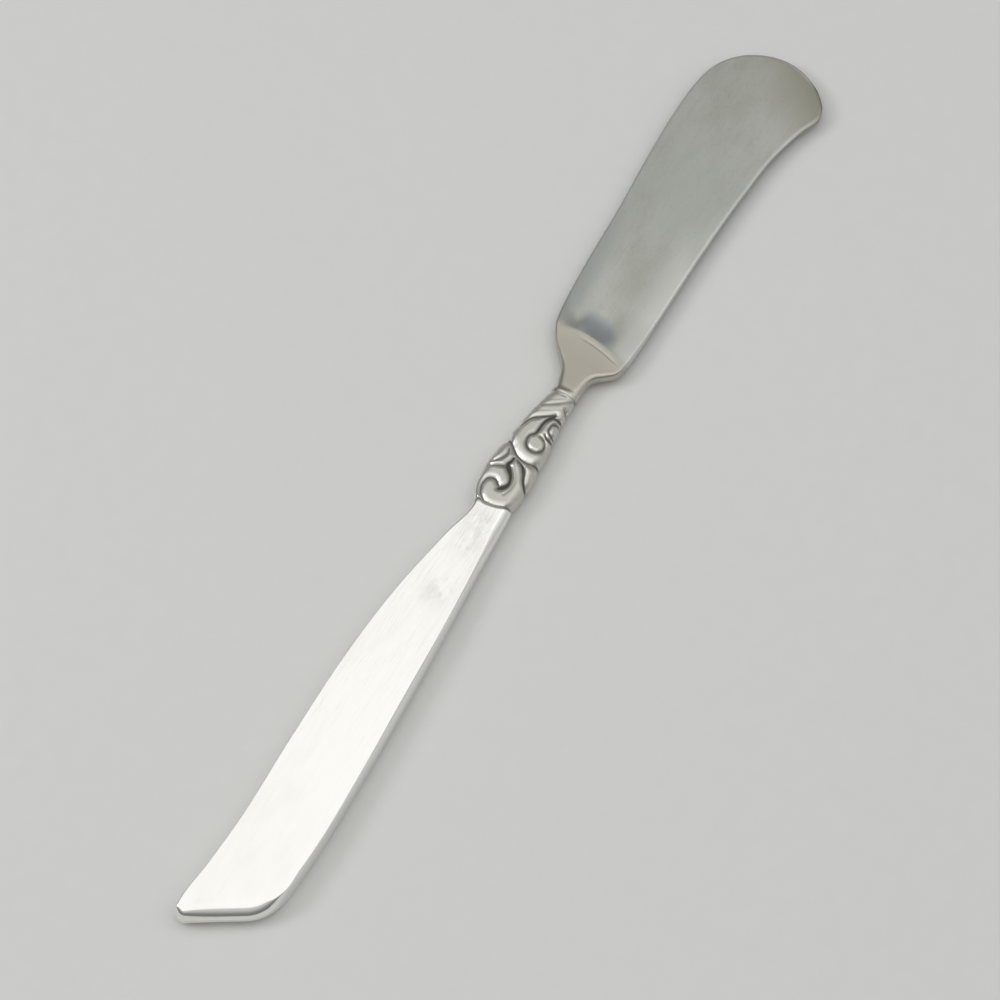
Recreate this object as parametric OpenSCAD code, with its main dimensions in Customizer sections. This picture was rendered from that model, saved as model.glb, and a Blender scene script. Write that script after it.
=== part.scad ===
// Hollow-handled butter knife, lying on its back with its blade towards +X and its face up.
// Sizes are in millimetres. Along the knife they are measured from the front of the collar.

/* [Blade] */
// Length of the blade from the collar to the tip
blade_len = 64.5; // [58:0.1:72]
// Radius of the round tip
tip_r = 9.8; // [8.8:0.1:10.8]
// Width where the round tip begins
tip_w = 17.45; // [16:0.05:19]
// How far the corner at the tip is rounded off inside the tip's circle
tip_corner = 0.3; // [0.1:0.05:0.6]
// Width just past the shoulder
shoulder_w = 12.7; // [11:0.1:14]
// Distance from the collar to the shoulder
shoulder_x = 7.2; // [6:0.1:9]
// Bow of the shoulder line towards the tip
shoulder_bow = 0.8; // [0:0.1:2]
// Half the lean of the shoulder line, left end forward
shoulder_lean = 0.7; // [0:0.1:1.5]
// Length of the hollow below the shoulder
shoulder_run = 2; // [1.4:0.1:3]
// Sway of the blade's centre line to the left of the neck
blade_sway = 2.1; // [0:0.1:3]
// Thickness at the top of the shoulder
shoulder_t = 1.7; // [1.5:0.05:2]
// Thickness of the blade just past the shoulder
blade_t = 1.2; // [1:0.05:1.5]
// Thickness of the blade behind the tip
tip_t = 0.95; // [0.8:0.05:1.2]
// Thickness left at the edge
edge_t = 0.4; // [0.2:0.05:0.6]
// Width over which the blade rounds down to its edge
edge_run = 0.5; // [0.3:0.05:1]
// Width of the neck at the collar
neck_w = 3.7; // [3.4:0.1:4]
// Thickness of the neck at the collar
neck_t = 2.4; // [2:0.1:2.6]

/* [Tang] */
// Length of the tang behind the collar
tang_len = 42; // [30:1:60]
// Width of the tang at the collar
tang_w = 2.2; // [1.8:0.1:2.3]
// Width of the tang at its end
tang_end_w = 1.5; // [1:0.1:1.8]
// Thickness of the tang
tang_t = 1.2; // [0.9:0.05:1.3]
// Notches along each edge of the tang
tang_notches = 3; // [0:1:5]
// Depth of a notch
notch_depth = 0.25; // [0.1:0.05:0.35]
// Length of a notch
notch_len = 2.4; // [1.6:0.2:4]

/* [Collar] */
// Length of the collar along the knife
collar_len = 1.2; // [0.8:0.1:2]
// How far the collar's bead stands out past the mouth of the handle
collar_bead = 0.12; // [0.05:0.01:0.25]
// Thickness of the solder behind the collar
collar_solder_t = 0.1; // [0.05:0.01:0.2]

/* [Handle] */
// Length of the handle, from the front of the collar to its end
handle_len = 95.8; // [86:0.1:106]
// Thickness over the flat faces
handle_t = 3.6; // [3.4:0.1:4.4]
// Width of the mouth
mouth_w = 3.9; // [3.8:0.1:4.4]
// Thickness at the mouth
mouth_t = 2.7; // [2.6:0.05:3]
// Length of the scrolled part, from the front of the collar
scroll_len = 21; // [18:0.2:24]
// Greatest width of the scrolled part
scroll_w = 7.13; // [6.4:0.01:8]
// Sway of the scrolled part to the left
scroll_sway = 0.33; // [0:0.01:0.8]
// Length of the step from the scrolls down to the waist
scroll_step = 1.3; // [0.8:0.1:2]
// Width of the waist behind the scrolls
waist_w = 5.7; // [5.2:0.1:6.4]
// Thickness at the waist
waist_t = 2.9; // [2.7:0.05:3.3]
// Width of the plain part at its end
heel_w = 11.9; // [10.8:0.1:13]
// Sway of the plain part to the right
heel_sway = 0.8; // [0:0.02:1]
// Slant of the end, in degrees from square
end_slant = 32; // [15:1:40]
// Radius of the sharp corner at the end
toe_r = 1.5; // [1:0.1:2.4]
// Radius of the soft corner at the end
heel_r = 6.1; // [4.5:0.1:7]
// Width of the rounded edge along the sides of the plain part
edge_round = 0.3; // [0.25:0.05:0.6]
// Width of the softer edge round its end
edge_soft = 1.8; // [1.2:0.05:2]

/* [Shells] */
// Wall of the half shells
shell_wall = 0.45; // [0.35:0.01:0.55]
// Depth of metal kept behind the scrolls for their relief
relief = 0.35; // [0.2:0.01:0.4]
// Thickness of the solder between the shells' rims
seam_t = 0.12; // [0.06:0.01:0.2]
// Depth of the line along the seam
seam_recess = 0.08; // [0.04:0.01:0.12]
// Clearance round the tang and the cement core
bond_gap = 0.05; // [0.03:0.01:0.08]

/* [Hidden] */

silver = [0.86, 0.86, 0.84];
steel = [0.66, 0.67, 0.64];
solder_grey = [0.5, 0.5, 0.48];
cement = [0.55, 0.5, 0.44];

// Places of the values in an outline point: along, across, half thickness, rounding, and one more
ALONG = 0;
ACROSS = 1;
HALF = 2;
ROUND = 3;
MORE = 4;

// Points across the blade and the shells, and across the cement core
wide_cols = 14;
core_cols = 8;
// Points round the collar and its solder, and along the collar's bead
ring_sides = 32;
bead_steps = 6;
// Depth of the tang's root inside the neck
tang_root = 1;

function mix(a, b, t) = a + (b - a) * t;
function flat(p) = [p[ALONG], p[ACROSS]];
function last(list) = list[len(list) - 1];
function polar(centre, r, angle) = centre + r * [cos(angle), sin(angle)];

// Smooth curve through points: a cubic between each two, with slopes weighted by the spacing
function span(p, i) = norm(p[i + 1] - p[i]);
function slope(p, i) =
    i == 0 ? (p[1] - p[0]) / span(p, 0) :
    i == len(p) - 1 ? (p[i] - p[i - 1]) / span(p, i - 1) :
    ((p[i + 1] - p[i]) / span(p, i) * span(p, i - 1) + (p[i] - p[i - 1]) / span(p, i - 1) * span(p, i))
    / (span(p, i) + span(p, i - 1));
function between(p, i, t) =
    (2 * t ^ 3 - 3 * t ^ 2 + 1) * p[i] + (t ^ 3 - 2 * t ^ 2 + t) * span(p, i) * slope(p, i)
    + (3 * t ^ 2 - 2 * t ^ 3) * p[i + 1] + (t ^ 3 - t ^ 2) * span(p, i) * slope(p, i + 1);
function through(p, steps) = [
    for (i = [0:len(p) - 2]) for (k = [0:steps[i] - 1]) between(p, i, k / steps[i]),
    last(p)
];

// Rise of a rounded edge at a distance from the outline, as a share of the full height
function rise(d, r) = d >= r ? 1 : sqrt(max(0, 1 - (1 - d / r) ^ 2));
function segment_dist(p, a, b) =
    let (t = max(0, min(1, (p - a) * (b - a) / ((b - a) * (b - a)))))
    norm(p - a - t * (b - a));
function outline_dist(p, line) = min([for (k = [0:len(line) - 2]) segment_dist(p, line[k], line[k + 1])]);

// Places across a piece from left, 0, to right, 1, crowded towards both edges
function spread(cols) = [for (j = [0:cols]) (1 - cos(180 * j / cols)) / 2];
function reversed(list) = [for (i = [len(list) - 1:-1:0]) list[i]];
function ease_bow(q) = 4 * q * (1 - q);

// Triangles over a grid of points, whose first point has the number start
function grid_faces(rows, cols, start, up) = [
    for (i = [0:rows - 2]) for (j = [0:cols - 2])
        let (a = start + i * cols + j, b = a + 1, c = a + cols, d = c + 1)
        each up ? [[a, b, c], [b, d, c]] : [[a, c, b], [b, c, d]]
];
// Triangles of a strip between two runs of point numbers
function strip_faces(from, to) = [
    for (i = [0:len(from) - 2]) each [[from[i], from[i + 1], to[i]], [from[i + 1], to[i + 1], to[i]]]
];
// Point numbers round a grid: left side outwards, across its end, and back along the right side
function rim_run(rows, cols, start) = concat(
    [for (i = [0:rows - 1]) start + i * cols],
    [for (j = [1:cols - 1]) start + (rows - 1) * cols + j],
    [for (i = [rows - 2:-1:0]) start + i * cols + cols - 1]
);
function mouth_run(cols, start) = [for (j = [cols - 1:-1:0]) start + j];
// Closed body between two grids with as many points: the first is the upper one where the rows run
// towards -X, and the lower one where they run towards +X
function skin_faces(rows, cols) = concat(
    grid_faces(rows, cols, 0, true),
    grid_faces(rows, cols, rows * cols, false),
    strip_faces(rim_run(rows, cols, 0), rim_run(rows, cols, rows * cols)),
    strip_faces(mouth_run(cols, 0), mouth_run(cols, rows * cols))
);
module skin(first, second, rows, cols) {
    polyhedron(concat(first, second), skin_faces(rows, cols));
}

// Outline of the blade
// Each row: along, share of the sway, width, thickness, roundness, share of the lean, bow
body_x = shoulder_x + shoulder_run;
tip_x = blade_len - tip_r;
tip_centre = [tip_x, 0];
tip_span = 40;
function flare_w(t) = mix(neck_w, shoulder_w, t);
function flare_t(t) = mix(neck_t, shoulder_t, t);
function body_w(t) = mix(shoulder_w, tip_w, t);
function body_t(t) = mix(blade_t, tip_t, t);
blade_rows = [
    [0, 0, neck_w, neck_t, 0.5, 0, 0],
    [0.42 * shoulder_x, 0.15, flare_w(0.17), flare_t(0.55), 0.15, 0, 0.1 * shoulder_bow],
    [0.63 * shoulder_x, 0.17, flare_w(0.486), flare_t(0.8), 0.04, 0.3, 0.4 * shoulder_bow],
    [0.81 * shoulder_x, 0.26, flare_w(0.756), flare_t(0.95), 0, 0.7, 0.8 * shoulder_bow],
    [shoulder_x, 0.39, flare_w(0.912), shoulder_t, 0, 1, shoulder_bow],
    [mix(shoulder_x, body_x, 0.4), 0.45, flare_w(0.96), mix(shoulder_t, blade_t, 0.75), 0, 1, shoulder_bow],
    [body_x, 0.5, shoulder_w, blade_t, 0, 1, shoulder_bow],
    [mix(body_x, tip_x, 0.17), 0.69, body_w(0.19), body_t(0.2), 0, 0.5, 0.6 * shoulder_bow],
    [mix(body_x, tip_x, 0.44), 0.85, body_w(0.316), body_t(0.5), 0, 0, 0.3 * shoulder_bow],
    [mix(body_x, tip_x, 0.7), 0.98, body_w(0.577), body_t(0.8), 0, 0, 0.04 * tip_r],
    [mix(body_x, tip_x, 0.87), 0.92, body_w(0.768), body_t(0.95), 0, 0, 0.09 * tip_r],
    [tip_x, 0.555, tip_w, tip_t, 0, 0, 0.2 * tip_r]
];
// Bow of the lines across the tip, from its start to the tip's own arc
tip_bows = [0.33 * tip_r, 0.325 * tip_r, 0.275 * tip_r, (1 - cos(tip_span)) * tip_r];
tip_left = [for (a = [76, 64, 52, tip_span]) polar(tip_centre, tip_r, a)];
tip_right = concat(
    [polar(tip_centre, tip_r - tip_corner, -67)],
    [for (a = [-58, -49, -tip_span]) polar(tip_centre, tip_r, a)]
);
blade_steps = [3, 3, 3, 3, 3, 3, 4, 4, 4, 3, 3, 3, 2, 2, 3];
function blade_knots(side, tip) = concat(
    [for (r = blade_rows) [
        r[0] + side * r[5] * shoulder_lean,
        r[1] * blade_sway + side * r[2] / 2,
        r[3] / 2,
        mix(edge_run, r[2] / 2, r[4]),
        r[6]
    ]],
    [for (k = [0:len(tip) - 1]) [tip[k][ALONG], tip[k][ACROSS], tip_t / 2, edge_run, tip_bows[k]]]
);
blade_left = through(blade_knots(1, tip_left), blade_steps);
blade_right = through(blade_knots(-1, tip_right), blade_steps);

// Outline of the handle
// Each row: behind the collar, sway, width, thickness, roundness, share of the relief, lean, and the
// softness of the right edge
mouth_x = collar_len + collar_solder_t;
mouth_sway = 0.15 * scroll_sway;
tang_straight = 2 * mouth_x;
waist_x = scroll_len + scroll_step;
heel_left = (heel_w - heel_sway) / 2;
heel_right = (heel_w + heel_sway) / 2;
toe_centre = [toe_r - handle_len, heel_left - toe_r];
// The soft corner's arc touches the same slanted line as the sharp corner's
heel_y = heel_r - heel_right;
heel_x = toe_centre[ALONG]
    + (heel_r - toe_r - sin(end_slant) * (heel_y - toe_centre[ACROSS])) / cos(end_slant);
heel_centre = [heel_x, heel_y];
end_lean = tan(end_slant) * heel_w / 2;
function scroll_at(t) = mix(mouth_x, scroll_len, t);
function scroll_width(t) = mix(mouth_w, scroll_w, t);
function plain_at(t) = mix(waist_x, -heel_x, t);
function plain_width(t) = mix(waist_w, heel_w, t);
handle_rows = [
    [mouth_x, mouth_sway, mouth_w, mouth_t, 0.84, 0.3, 0, 0],
    [scroll_at(0.19), 1.1 * scroll_sway, scroll_width(0.285), mix(mouth_t, handle_t, 0.35), 0.52, 0.6, 0, 0],
    [scroll_at(0.44), scroll_sway, scroll_width(0.66), mix(mouth_t, handle_t, 0.8), 0.42, 1, 0, 0],
    [scroll_at(0.86), scroll_sway, scroll_w, handle_t, 0.38, 1, 0, 0],
    [scroll_at(0.98), 0.64 * scroll_sway, scroll_width(0.78), mix(waist_t, handle_t, 0.8), 0.34, 1, 0, 0],
    [waist_x, -0.37 * heel_sway, waist_w, waist_t, 0.2, 0.3, 0, 0.6],
    [plain_at(0.1), -0.19 * heel_sway, plain_width(0.19), mix(waist_t, handle_t, 0.45), 0.05, 0, 0, 0.3],
    [plain_at(0.28), 0.115 * heel_sway, plain_width(0.573), mix(waist_t, handle_t, 0.9), 0, 0, 0, 0.1],
    [plain_at(0.48), -0.093 * heel_sway, plain_width(0.838), handle_t, 0, 0, 0, 0.02],
    [plain_at(0.69), -0.7 * heel_sway, plain_width(0.933), handle_t, 0, 0, 0, 0],
    [plain_at(0.89), -1.19 * heel_sway, plain_width(0.923), handle_t, 0, 0, 0.43 * end_lean, 0],
    [plain_at(0.975), -1.04 * heel_sway, plain_width(0.959), handle_t, 0, 0, 0.7 * end_lean, 0.06]
];
toe_arc = [for (a = [88, 104, 145, 185, 180 + end_slant]) polar(toe_centre, toe_r, a)];
heel_arc = [for (t = [0.08, 0.25, 0.45, 0.7, 1]) polar(heel_centre, heel_r, mix(-90, end_slant - 180, t))];
handle_steps = [5, 6, 9, 4, 4, 4, 4, 3, 2, 2, 2, 3, 1, 3, 3, 4];
// Softness of the edge at the points of the two arcs
toe_soft = [0, 0, 0.4, 0.6, 0.6];
heel_soft = [0.1, 0.22, 0.57, 0.9, 1];
function handle_knots(side, arc, soft) = concat(
    [for (r = handle_rows) [
        -r[0] - side * r[6],
        r[1] + side * r[2] / 2,
        r[3] / 2,
        mix(mix(edge_round, edge_soft, side < 0 ? r[7] : 0), r[2] / 2, r[4]),
        r[5] * relief
    ]],
    [for (k = [0:len(arc) - 1])
        [arc[k][ALONG], arc[k][ACROSS], handle_t / 2, mix(edge_round, edge_soft, soft[k]), 0]]
);
handle_left = through(handle_knots(1, toe_arc, toe_soft), handle_steps);
handle_right = through(handle_knots(-1, heel_arc, heel_soft), handle_steps);

// Place of the knife: middle of its length and width over the origin, its back on z = 0
mid_x = (blade_len - handle_len) / 2;
mid_y = (max([for (p = blade_left) p[ACROSS]]) + min([for (p = blade_right) p[ACROSS]])) / 2;
module place() {
    translate([-mid_x, -mid_y, handle_t / 2]) children();
}

// An outline side moved inwards by its wall and a further gap: turn is 1 on the left and -1 on the right
function inward(side, i, turn) =
    let (a = side[max(i - 1, 0)], b = side[min(i + 1, len(side) - 1)], t = flat(b - a) / norm(flat(b - a)))
    i == 0 ? [0, -turn] : turn * [-t[1], t[0]];
function wall_at(p) = shell_wall + p[MORE];
function inset(side, turn, gap) = [
    for (i = [0:len(side) - 1])
        let (p = side[i], deep = wall_at(p) + gap, q = flat(p) + deep * inward(side, i, turn))
        [q[0], q[1], p[HALF] - deep, max(p[ROUND] - deep, edge_round / 4), p[MORE]]
];
function outline(left, right) = concat([for (p = left) flat(p)], [for (p = reversed(right)) flat(p)]);

// Points of a rounded face over an outline, rising from the height low at the outline itself
function face_points(left, right, cols, low, bowed) =
    let (line = outline(left, right), places = spread(cols))
    [for (i = [0:len(left) - 1]) for (q = places)
        let (
            m = mix(left[i], right[i], q),
            p = flat(m) + [bowed ? m[MORE] * ease_bow(q) : 0, 0],
            d = q == 0 || q == 1 || (i == len(left) - 1) ? 0 : outline_dist(p, line),
            top = min(m[HALF], handle_t / 2)
        )
        [p[0], p[1], mix(low, top, rise(d, m[ROUND]))]
    ];
function flipped(points) = [for (p = points) [p[0], p[1], -p[2]]];

// Outline of the tang, grown all round by a gap
function notch_at(k) = -tang_len * (k + 1) / (tang_notches + 1);
function tang_half(x) = mix(tang_w, tang_end_w, (x + tang_straight) / (tang_straight - tang_len)) / 2;
function tang_edge(gap) = [
    [tang_root, tang_w / 2 + gap],
    [-tang_straight, tang_w / 2 + gap],
    for (k = [0:1:tang_notches - 1]) each [
        let (x = notch_at(k) + notch_len / 2) [x, tang_half(x) + gap],
        let (x = notch_at(k) + notch_len / 4) [x, tang_half(x) + gap - notch_depth],
        let (x = notch_at(k) - notch_len / 4) [x, tang_half(x) + gap - notch_depth],
        let (x = notch_at(k) - notch_len / 2) [x, tang_half(x) + gap]
    ],
    [-tang_len - gap, tang_end_w / 2 + gap]
];
module tang(gap) {
    edge = tang_edge(gap);
    linear_extrude(height = tang_t + 2 * gap, center = true)
        polygon(concat(edge, [for (p = reversed(edge)) [p[0], -p[1]]]));
}

// Section of the handle's mouth, grown by a bead
function mouth_ring(bead) = [
    for (k = [0:ring_sides - 1])
        let (a = 360 * k / ring_sides)
        [mouth_sway + (mouth_w / 2 + bead) * cos(a), (mouth_t / 2 + bead) * sin(a)]
];

module blade() {
    rows = len(blade_left);
    upper = face_points(blade_left, blade_right, wide_cols, edge_t / 2, true);
    color(steel) place() union() {
        skin(flipped(upper), upper, rows, wide_cols + 1);
        tang(0);
    }
}

module collar() {
    bead_at = [for (k = [0:bead_steps]) 180 * k / bead_steps];
    rings = [for (a = bead_at) [for (p = mouth_ring(collar_bead * sin(a)))
        [-collar_len * (1 - cos(a)) / 2, p[0], p[1]]]];
    ends = [for (r = [0, bead_steps]) [rings[r][0][0], 0, 0]];
    hub = ring_sides * (bead_steps + 1);
    sides = [for (r = [0:bead_steps - 1]) for (k = [0:ring_sides - 1])
        let (
            a = r * ring_sides + k,
            b = r * ring_sides + (k + 1) % ring_sides,
            c = a + ring_sides,
            d = b + ring_sides
        )
        each [[a, b, c], [b, d, c]]];
    caps = [for (k = [0:ring_sides - 1])
        let (n = (k + 1) % ring_sides, far = bead_steps * ring_sides)
        each [[hub, n, k], [hub + 1, far + k, far + n]]];
    color(silver) place() difference() {
        polyhedron(concat([for (r = rings) each r], ends), concat(sides, caps));
        tang(bond_gap);
    }
}

module collar_solder() {
    color(solder_grey) place() difference() {
        translate([-mouth_x, 0, 0])
            rotate([90, 0, 90])
                linear_extrude(height = collar_solder_t) polygon(mouth_ring(0));
        tang(bond_gap);
    }
}

// Half shell over the seam, kept within a block so that its flat face is one plane
module half_shell() {
    rows = len(handle_left);
    outer = face_points(handle_left, handle_right, wide_cols, seam_t / 2, false);
    inner = face_points(inset(handle_left, 1, 0), inset(handle_right, -1, 0), wide_cols, seam_t / 2, false);
    intersection() {
        skin(outer, inner, rows, wide_cols + 1);
        translate([-handle_len - shell_wall, -heel_w, 0])
            cube([handle_len, 2 * heel_w, handle_t]);
    }
}

module handle_front_shell() {
    color(silver) place() half_shell();
}

module handle_back_shell() {
    color(silver) place() mirror([0, 0, 1]) half_shell();
}

module seam_solder() {
    rim = [for (side = [[handle_left, 1], [handle_right, -1]])
        [for (i = [0:len(side[0]) - 1]) flat(side[0][i]) + seam_recess * inward(side[0], i, side[1])]];
    bed = outline(inset(handle_left, 1, 0), inset(handle_right, -1, 0));
    color(solder_grey) place()
        linear_extrude(height = seam_t, center = true)
            polygon(concat(rim[0], reversed(rim[1]), reversed(bed)));
}

module handle_filler() {
    left = inset(handle_left, 1, bond_gap);
    right = inset(handle_right, -1, bond_gap);
    upper = face_points(left, right, core_cols, seam_t / 2, false);
    color(cement) place() difference() {
        skin(upper, flipped(upper), len(left), core_cols + 1);
        tang(bond_gap);
    }
}

blade();
collar();
collar_solder();
handle_front_shell();
handle_back_shell();
seam_solder();
handle_filler();
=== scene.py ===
"""Looks of a hollow-handled butter knife: satin blade, ringed neck, struck scrolls and polished handle."""

import logging
import math
from dataclasses import dataclass, field
from enum import Enum
from typing import Any, Optional, Sequence, Union

import bpy
import numpy as np
from mathutils import Matrix, Vector
from numpy.typing import NDArray

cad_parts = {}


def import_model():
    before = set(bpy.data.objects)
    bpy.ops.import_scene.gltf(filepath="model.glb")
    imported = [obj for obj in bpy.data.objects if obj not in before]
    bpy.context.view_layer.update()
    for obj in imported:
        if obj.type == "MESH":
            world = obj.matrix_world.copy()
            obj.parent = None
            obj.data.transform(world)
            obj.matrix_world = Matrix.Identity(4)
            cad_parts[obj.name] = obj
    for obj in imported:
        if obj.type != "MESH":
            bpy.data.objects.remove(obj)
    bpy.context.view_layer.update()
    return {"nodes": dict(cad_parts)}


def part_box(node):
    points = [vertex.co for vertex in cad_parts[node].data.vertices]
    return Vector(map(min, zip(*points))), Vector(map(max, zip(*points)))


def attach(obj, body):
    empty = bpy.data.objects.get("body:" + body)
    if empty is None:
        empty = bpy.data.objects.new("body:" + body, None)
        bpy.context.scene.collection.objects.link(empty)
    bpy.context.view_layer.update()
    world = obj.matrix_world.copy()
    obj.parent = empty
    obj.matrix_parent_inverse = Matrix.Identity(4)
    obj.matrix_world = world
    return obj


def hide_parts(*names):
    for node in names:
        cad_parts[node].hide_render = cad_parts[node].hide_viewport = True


LOG = logging.getLogger("butter_knife")
Array = NDArray[np.float64]
Index = NDArray[np.int64]
Pair = tuple[float, float]
Triple = tuple[float, float, float]
Shares = tuple[float, ...]
Colour = tuple[float, float, float, float]

MM = 0.001
BODY = "root"
# Attribute of the tarnish in the recesses, with painted shade on the flanks that lean to the front
TARNISH_AND_SHADE = "recess"
# Attribute of the ornament's wear, lessened on the flanks that lean to the rear to paint a highlight
WEAR_AND_GLEAM = "struck"
SMUDGE = "smudge"
WARMTH = "warmth"
DUSK = "dusk"
# Attribute of a painted dark bluish reflection in the blade's hollow
PAINTED_REFLECTION = "painted_reflection"
# Attribute of a painted sheen at the right of the lower blade
PAINTED_SHEEN = "painted_sheen"
# Attribute of painted shade at the left of the lower blade, and of a little darkening in its middle
PAINTED_SHADE = "painted_shade"
# Attribute of a painted highlight along the blade's rim
PAINTED_RIM_HIGHLIGHT = "painted_rim_highlight"

# Colour sockets of a Mix node: two inputs and the output
MIX_FIRST, MIX_SECOND, MIX_RESULT = 6, 7, 2

# Columns of a point on an outline: along the knife, across it, its section's place, rounding, and one more
ALONG, ACROSS, STATION, ROUND, MORE = range(5)


class Slot(Enum):
    """Material slots of the record."""

    BLADE = "blade_metal"
    HANDLE = "handle_silver"
    SOLDER = "solder"
    CEMENT = "cement"


class Side(Enum):
    """Side of the seam that a half shell lies on."""

    FRONT = 1
    BACK = -1


def mix(a: Any, b: Any, t: Any) -> Any:
    """Blends from a, at t = 0, to b, at t = 1."""
    return a + (b - a) * t


def smooth_step(low: float, high: float, x: Array) -> Array:
    """Rises from 0 at low to 1 at high along a cubic that is level at both."""
    t = np.clip((x - low) / (high - low), 0.0, 1.0)
    return t * t * (3.0 - 2.0 * t)


def smooth_fall(low: float, high: float, x: Array) -> Array:
    """Falls from 1 at low to 0 at high along the same cubic."""
    return 1.0 - smooth_step(low, high, x)


def bell(x: Array, width: Any) -> Array:
    """Bell curve of height 1 about 0, which falls to 1 / e at the width."""
    return np.exp(-((x / width) ** 2))


def polar(centre: Array, radius: float, degrees: float) -> Array:
    """Point of a circle at an angle from +X."""
    turn = math.radians(degrees)
    return centre + radius * np.array([math.cos(turn), math.sin(turn)])


def smooth_through(knots: Array, steps: Sequence[int], end_way: Optional[Array] = None) -> Array:
    """Samples a smooth curve through knots.

    Each stretch is a cubic. Its slope at a knot is the mean of the two chords there, each weighted by
    the other chord's length.

    Args:
        knots: One row for each knot, with as many columns as a point has values.
        steps: Number of samples in each stretch.
        end_way: Slope at the last knot, if it is not the last chord's.

    Returns:
        The samples, the last knot included.
    """
    chords = np.diff(knots, axis=0)
    spans = np.linalg.norm(chords[:, :2], axis=1)[:, None]
    rates = chords / spans
    inner = (rates[1:] * spans[:-1] + rates[:-1] * spans[1:]) / (spans[1:] + spans[:-1])
    slopes = np.vstack([rates[:1], inner, rates[-1:] if end_way is None else end_way[None]])
    k = np.repeat(np.arange(len(steps)), steps)
    t = np.concatenate([np.arange(n) / n for n in steps])[:, None]
    curve = (
        (2 * t**3 - 3 * t**2 + 1) * knots[k]
        + (t**3 - 2 * t**2 + t) * spans[k] * slopes[k]
        + (3 * t**2 - 2 * t**3) * knots[k + 1]
        + (t**3 - t**2) * spans[k] * slopes[k + 1]
    )
    return np.vstack([curve, knots[-1:]])


def inward_normals(line: Array, turn: int) -> Array:
    """Unit normals in plan that point into a piece. The first is square to the knife's length.

    Args:
        line: Points of one side of an outline, in order.
        turn: 1 if the inside lies to the left of the way the line runs, and -1 if to the right.

    Returns:
        One normal for each point.
    """
    tangent = np.gradient(line[:, :2], axis=0)
    tangent /= np.linalg.norm(tangent, axis=1)[:, None]
    normal = turn * np.stack([-tangent[:, 1], tangent[:, 0]], axis=1)
    normal[0] = [0.0, -np.sign(line[0, ACROSS])]
    return normal


@dataclass
class Piece:
    """Vertices in millimetres, with quads and triangles over them."""

    points: Array
    quads: Index
    triangles: Index = field(default_factory=lambda: np.zeros((0, 3), np.int64))

    def normals(self) -> Array:
        """Normals at the vertices: the sum of the normals of the faces round each.

        Returns:
            One unit normal for each vertex.
        """
        p = self.points
        total = np.zeros_like(p)
        if len(self.quads):
            q = self.quads
            face = np.cross(p[q[:, 2]] - p[q[:, 0]], p[q[:, 3]] - p[q[:, 1]])
            np.add.at(total, q.ravel(), np.repeat(face, 4, axis=0))
        if len(self.triangles):
            t = self.triangles
            face = np.cross(p[t[:, 1]] - p[t[:, 0]], p[t[:, 2]] - p[t[:, 0]])
            np.add.at(total, t.ravel(), np.repeat(face, 3, axis=0))
        return total / np.maximum(np.linalg.norm(total, axis=1), 1e-12)[:, None]

    def joined(self, other: "Piece") -> "Piece":
        """This piece and another as one list of vertices and faces."""
        shift = len(self.points)
        return Piece(
            np.vstack([self.points, other.points]),
            np.vstack([self.quads, other.quads + shift]),
            np.vstack([self.triangles, other.triangles + shift]),
        )


def ribbon(first: Index, second: Index) -> Index:
    """Quads between two runs of as many vertices, drawn along the first and back along the second."""
    return np.stack([first[:-1], first[1:], second[1:], second[:-1]], axis=1)


def zipped(fine: Index, coarse: Index) -> Index:
    """Triangles between a fine run of vertices and a coarse run with a whole share of its steps.

    Args:
        fine: Vertex numbers of the fine run.
        coarse: Vertex numbers of the coarse run, in the same direction.

    Returns:
        A triangle for each step of the fine run, and one for each step of the coarse run.
    """
    ratio = (len(fine) - 1) // (len(coarse) - 1)
    i = np.arange(len(fine) - 1)
    fans = np.stack([fine[i], fine[i + 1], coarse[i // ratio]], axis=1)
    k = np.arange(len(coarse) - 1)
    wedges = np.stack([fine[(k + 1) * ratio], coarse[k + 1], coarse[k]], axis=1)
    return np.vstack([fans, wedges])


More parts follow.
